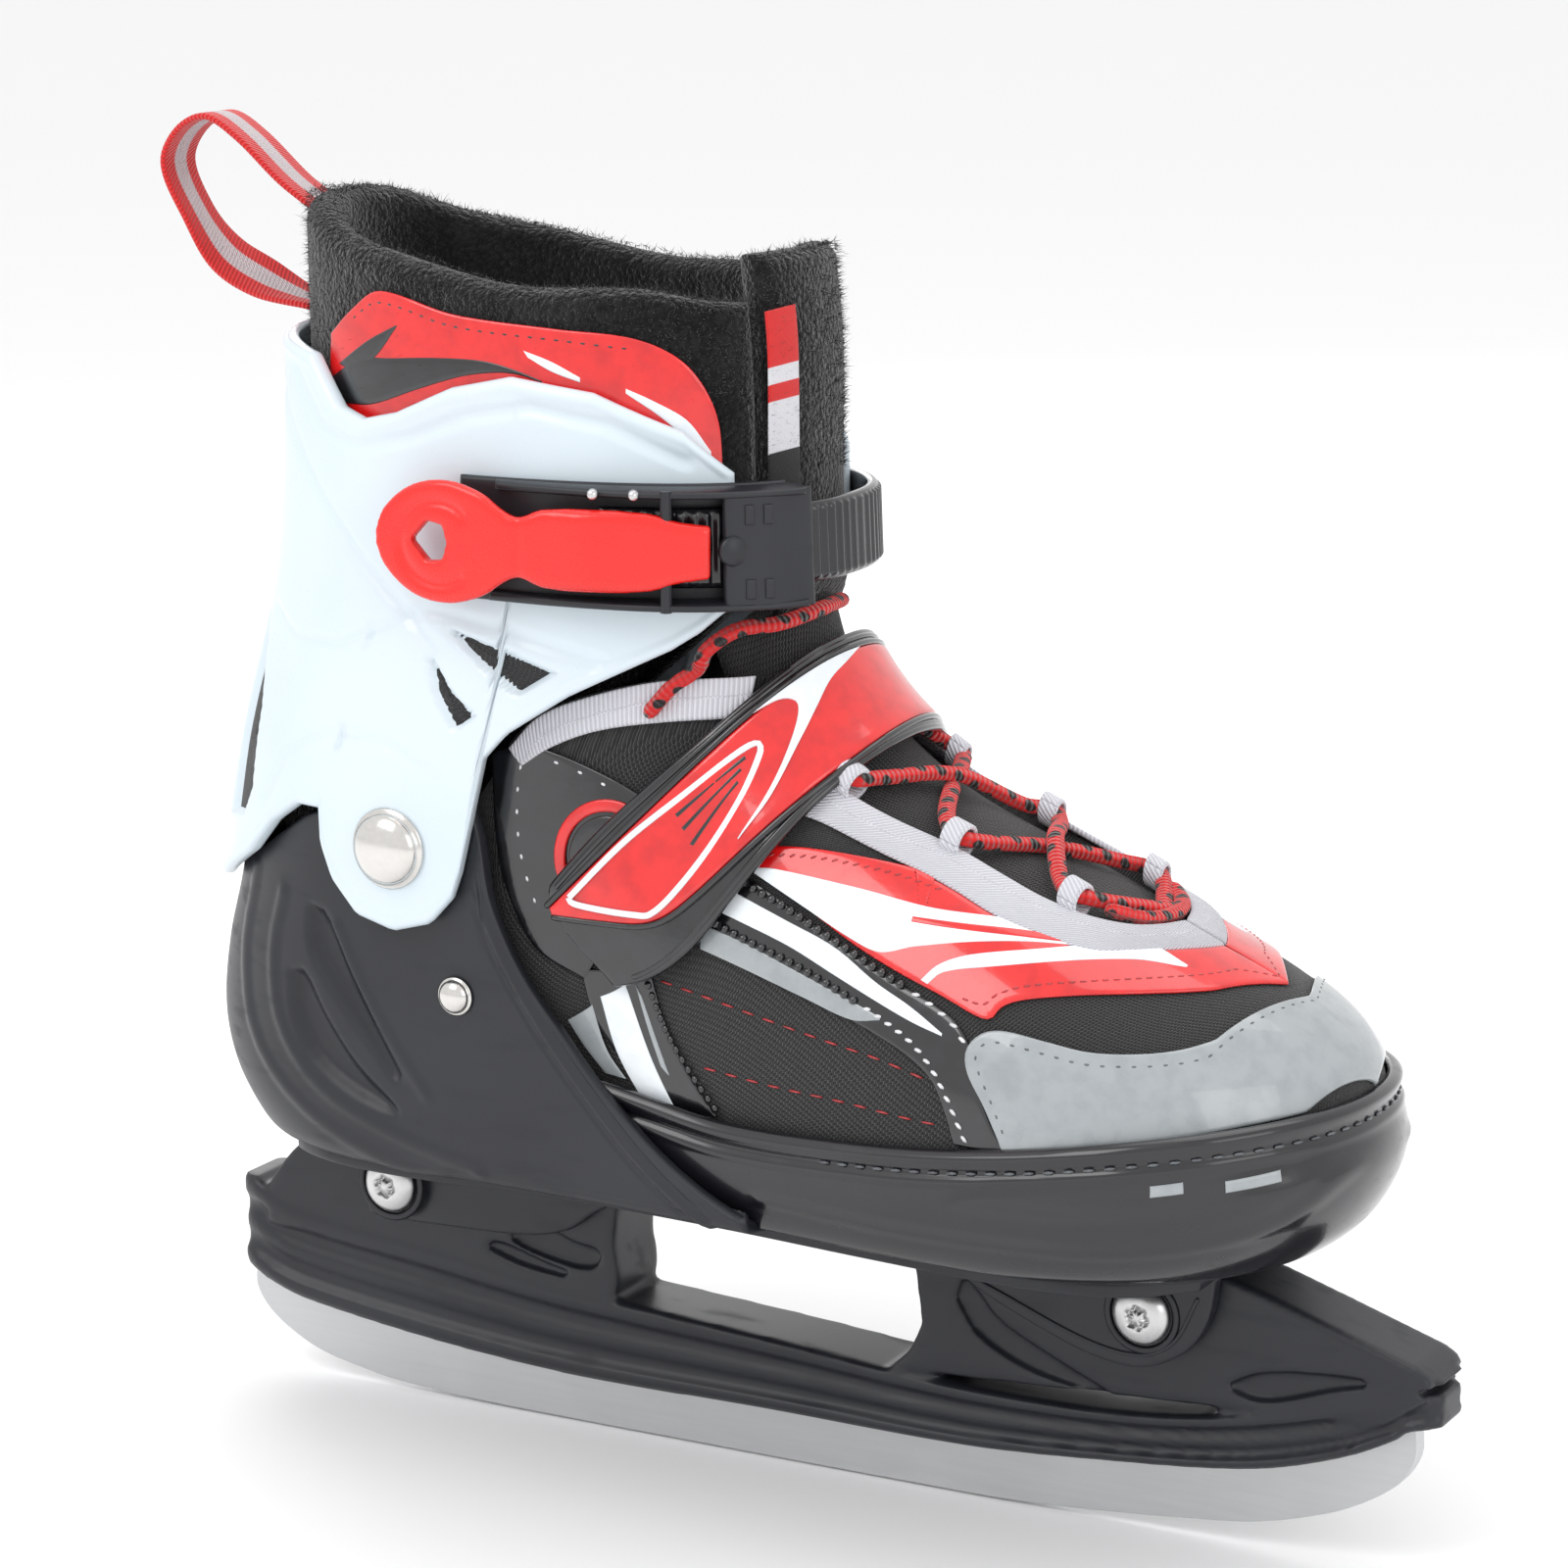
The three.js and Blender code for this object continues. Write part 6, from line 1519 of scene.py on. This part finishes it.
rise = through([(0, 0.4), (0.3, 0.8), (0.5, 1), (1, 1)])
fall = through([(0, 1), (0.5, 1), (1, 0.45)])
piece("buckle_base", [
    cuff_band(-88, -22, 189.6, 214.9, 0.3, 2.3, 0.8),
    cuff_band(-82, -22, 189.8, 192.0, 0.9, 9.4, 0.8, 0.9, rise),
    cuff_band(-82, -22, 212.5, 214.7, 0.9, 9.4, 0.8, 0.9, rise),
    cuff_band(-41, -20, 190.2, 214.3, 7.0, 9.2, 0.9, 1.0, fall)],
    "satin_black", "cuff", "buckle_base")
piece("buckle_slots", [cuff_band(-37 + 4 * i, -35 + 4 * i, 207.6, 211.6, 9.0, 9.7, 0.3, 0.5) for i in range(2)]
      + [cuff_band(-37 + 4 * i, -35 + 4 * i, 192.6, 196.6, 9.0, 9.7, 0.3, 0.5) for i in range(2)],
      "satin_black", "cuff")
for name, at_x, at_z, high, wide in (("buckle_button", -1.5, 202.4, 9.0, 3.2), ("buckle_bump_1", -24, 213.6, 9.0, 1.1),
                                     ("buckle_bump_2", -17, 213.6, 9.0, 1.1)):
    middle = on_cuff(at_x, at_z, high - 1)
    up = on_cuff(at_x, at_z, high + 1) - middle
    made = lathe([(0.02, 0), (wide, 0), (wide, 1.2), (wide * 0.8, 1.7), (0.02, 1.9)], middle, up / np.linalg.norm(up), 24)
    dress(closed(mesh_object(name, *made)), "satin_black" if wide > 2 else "zinc", "cuff")


def rib_rise(_places, u, _v, d):
    """The toothed strap's ribs, which stop short of its edges."""
    return 0.75 * np.abs(np.sin(u * np.pi * 52)) * (d > 1.2)


def ladder(u, v, grow):
    """The toothed strap over the front of the cuff: u runs round it, v across the strap, to a rounded end."""
    turn = -64 + 142 * u
    low = 2.6 + (0.3 - 2.6) * np.clip((turn + 10) / 50, 0, 1)
    half = 8.2 * bulge(np.clip((turn - 70) / 8.4, 0, 1), 2.2)
    return cuff(np.radians(turn), 202.3 + (2 * v - 1) * half, low + grow)


piece("ladder_strap", [slab(ladder, 0, 2.2, 0.7, 0.55, rib_rise)], "gloss_black", "cuff",
      "ladder_strap")
rivet_at, rivet_up = cuff(np.radians(72), 202.3, 2.4), cuff(np.radians(72), 202.3, 3.4)
made = lathe([(0.02, 0), (4.4, 0), (4.4, 0.5), (3.6, 1.3), (1.8, 1.8), (0.02, 1.95)], rivet_at, rivet_up - rivet_at, 32)
dress(closed(mesh_object("ladder_rivet", *made)), "chrome", "cuff", "ladder_rivet")
lever_top = smooth_line([(-66.6, 203), (-64.5, 208.6), (-59, 213.4), (-52, 214.9), (-45, 212.9), (-40.6, 209.6),
                         (-37.6, 208.4), (-33, 210.2), (-22, 210.6), (-14, 210), (-10.4, 208.6), (-5, 207.6)], 110)
lever_low = smooth_line([(-66.6, 201.4), (-64.5, 196), (-59, 191), (-52, 189.6), (-45, 191.6), (-40.6, 194.8),
                         (-37.6, 196), (-33, 194.2), (-22, 193.8), (-14, 194.4), (-10.4, 195.8), (-5, 196.8)], 110)


def lever_relief(places, _u, _v, _d):
    """A pressed ring round the finger hole, and a swell and a crease along the handle."""
    x, z = places[..., 0], places[..., 2]
    ring = np.hypot((x + 53) / 1.02, z - 202)
    return (-0.8 * swell(np.abs(ring - 8.4), 1.3) * (x < -47) + 0.7 * swell(np.abs(x + 22), 9)
            - 0.5 * swell(np.abs(x + 35), 1.2))


lever_body = slab(between(lever_top, lever_low, 1, lambda x, z, grow: on_cuff(x, z, grow)), 7.6, 10.4, 1.4, 0.8,
                  lever_relief)
finger_hole = prism([(-59.4, 202.2), (-55.6, 198.2), (-51.8, 198.6), (-50.8, 202.2), (-51.8, 205.8), (-55.6, 206.4)],
                    -58, -38)
lever = moulded("buckle_lever", [lever_body], [finger_hole], voxel=0.5, smoothing=2)
dress(lever, "lever_red", "lever", "buckle_lever")

# ------------------------------------------------------------------ parts kept as they are
for node, finish in (("size_button_spring", "zinc"), ("lever_pin", "satin_black"), ("buckle_rivet", "zinc")):
    kept = bpy.data.objects[node]
    kept.data.materials.clear()
    kept.data.materials.append(finishes[finish])
bed = slab(lambda u, v, grow: np.stack(
    [76 - 176 * u, (2 * v - 1) * 22 * bulge(np.abs(2 * u - 1) * 0.97, 3.2), 78.6 + 0 * u + np.asarray(grow)], -1),
    0, 3.0, 1.2, 2.5)
padded_piece("footbed", [bed], "black_knit", "frame", "footbed")


# ------------------------------------------------------------------ last update
bpy.context.view_layer.update()
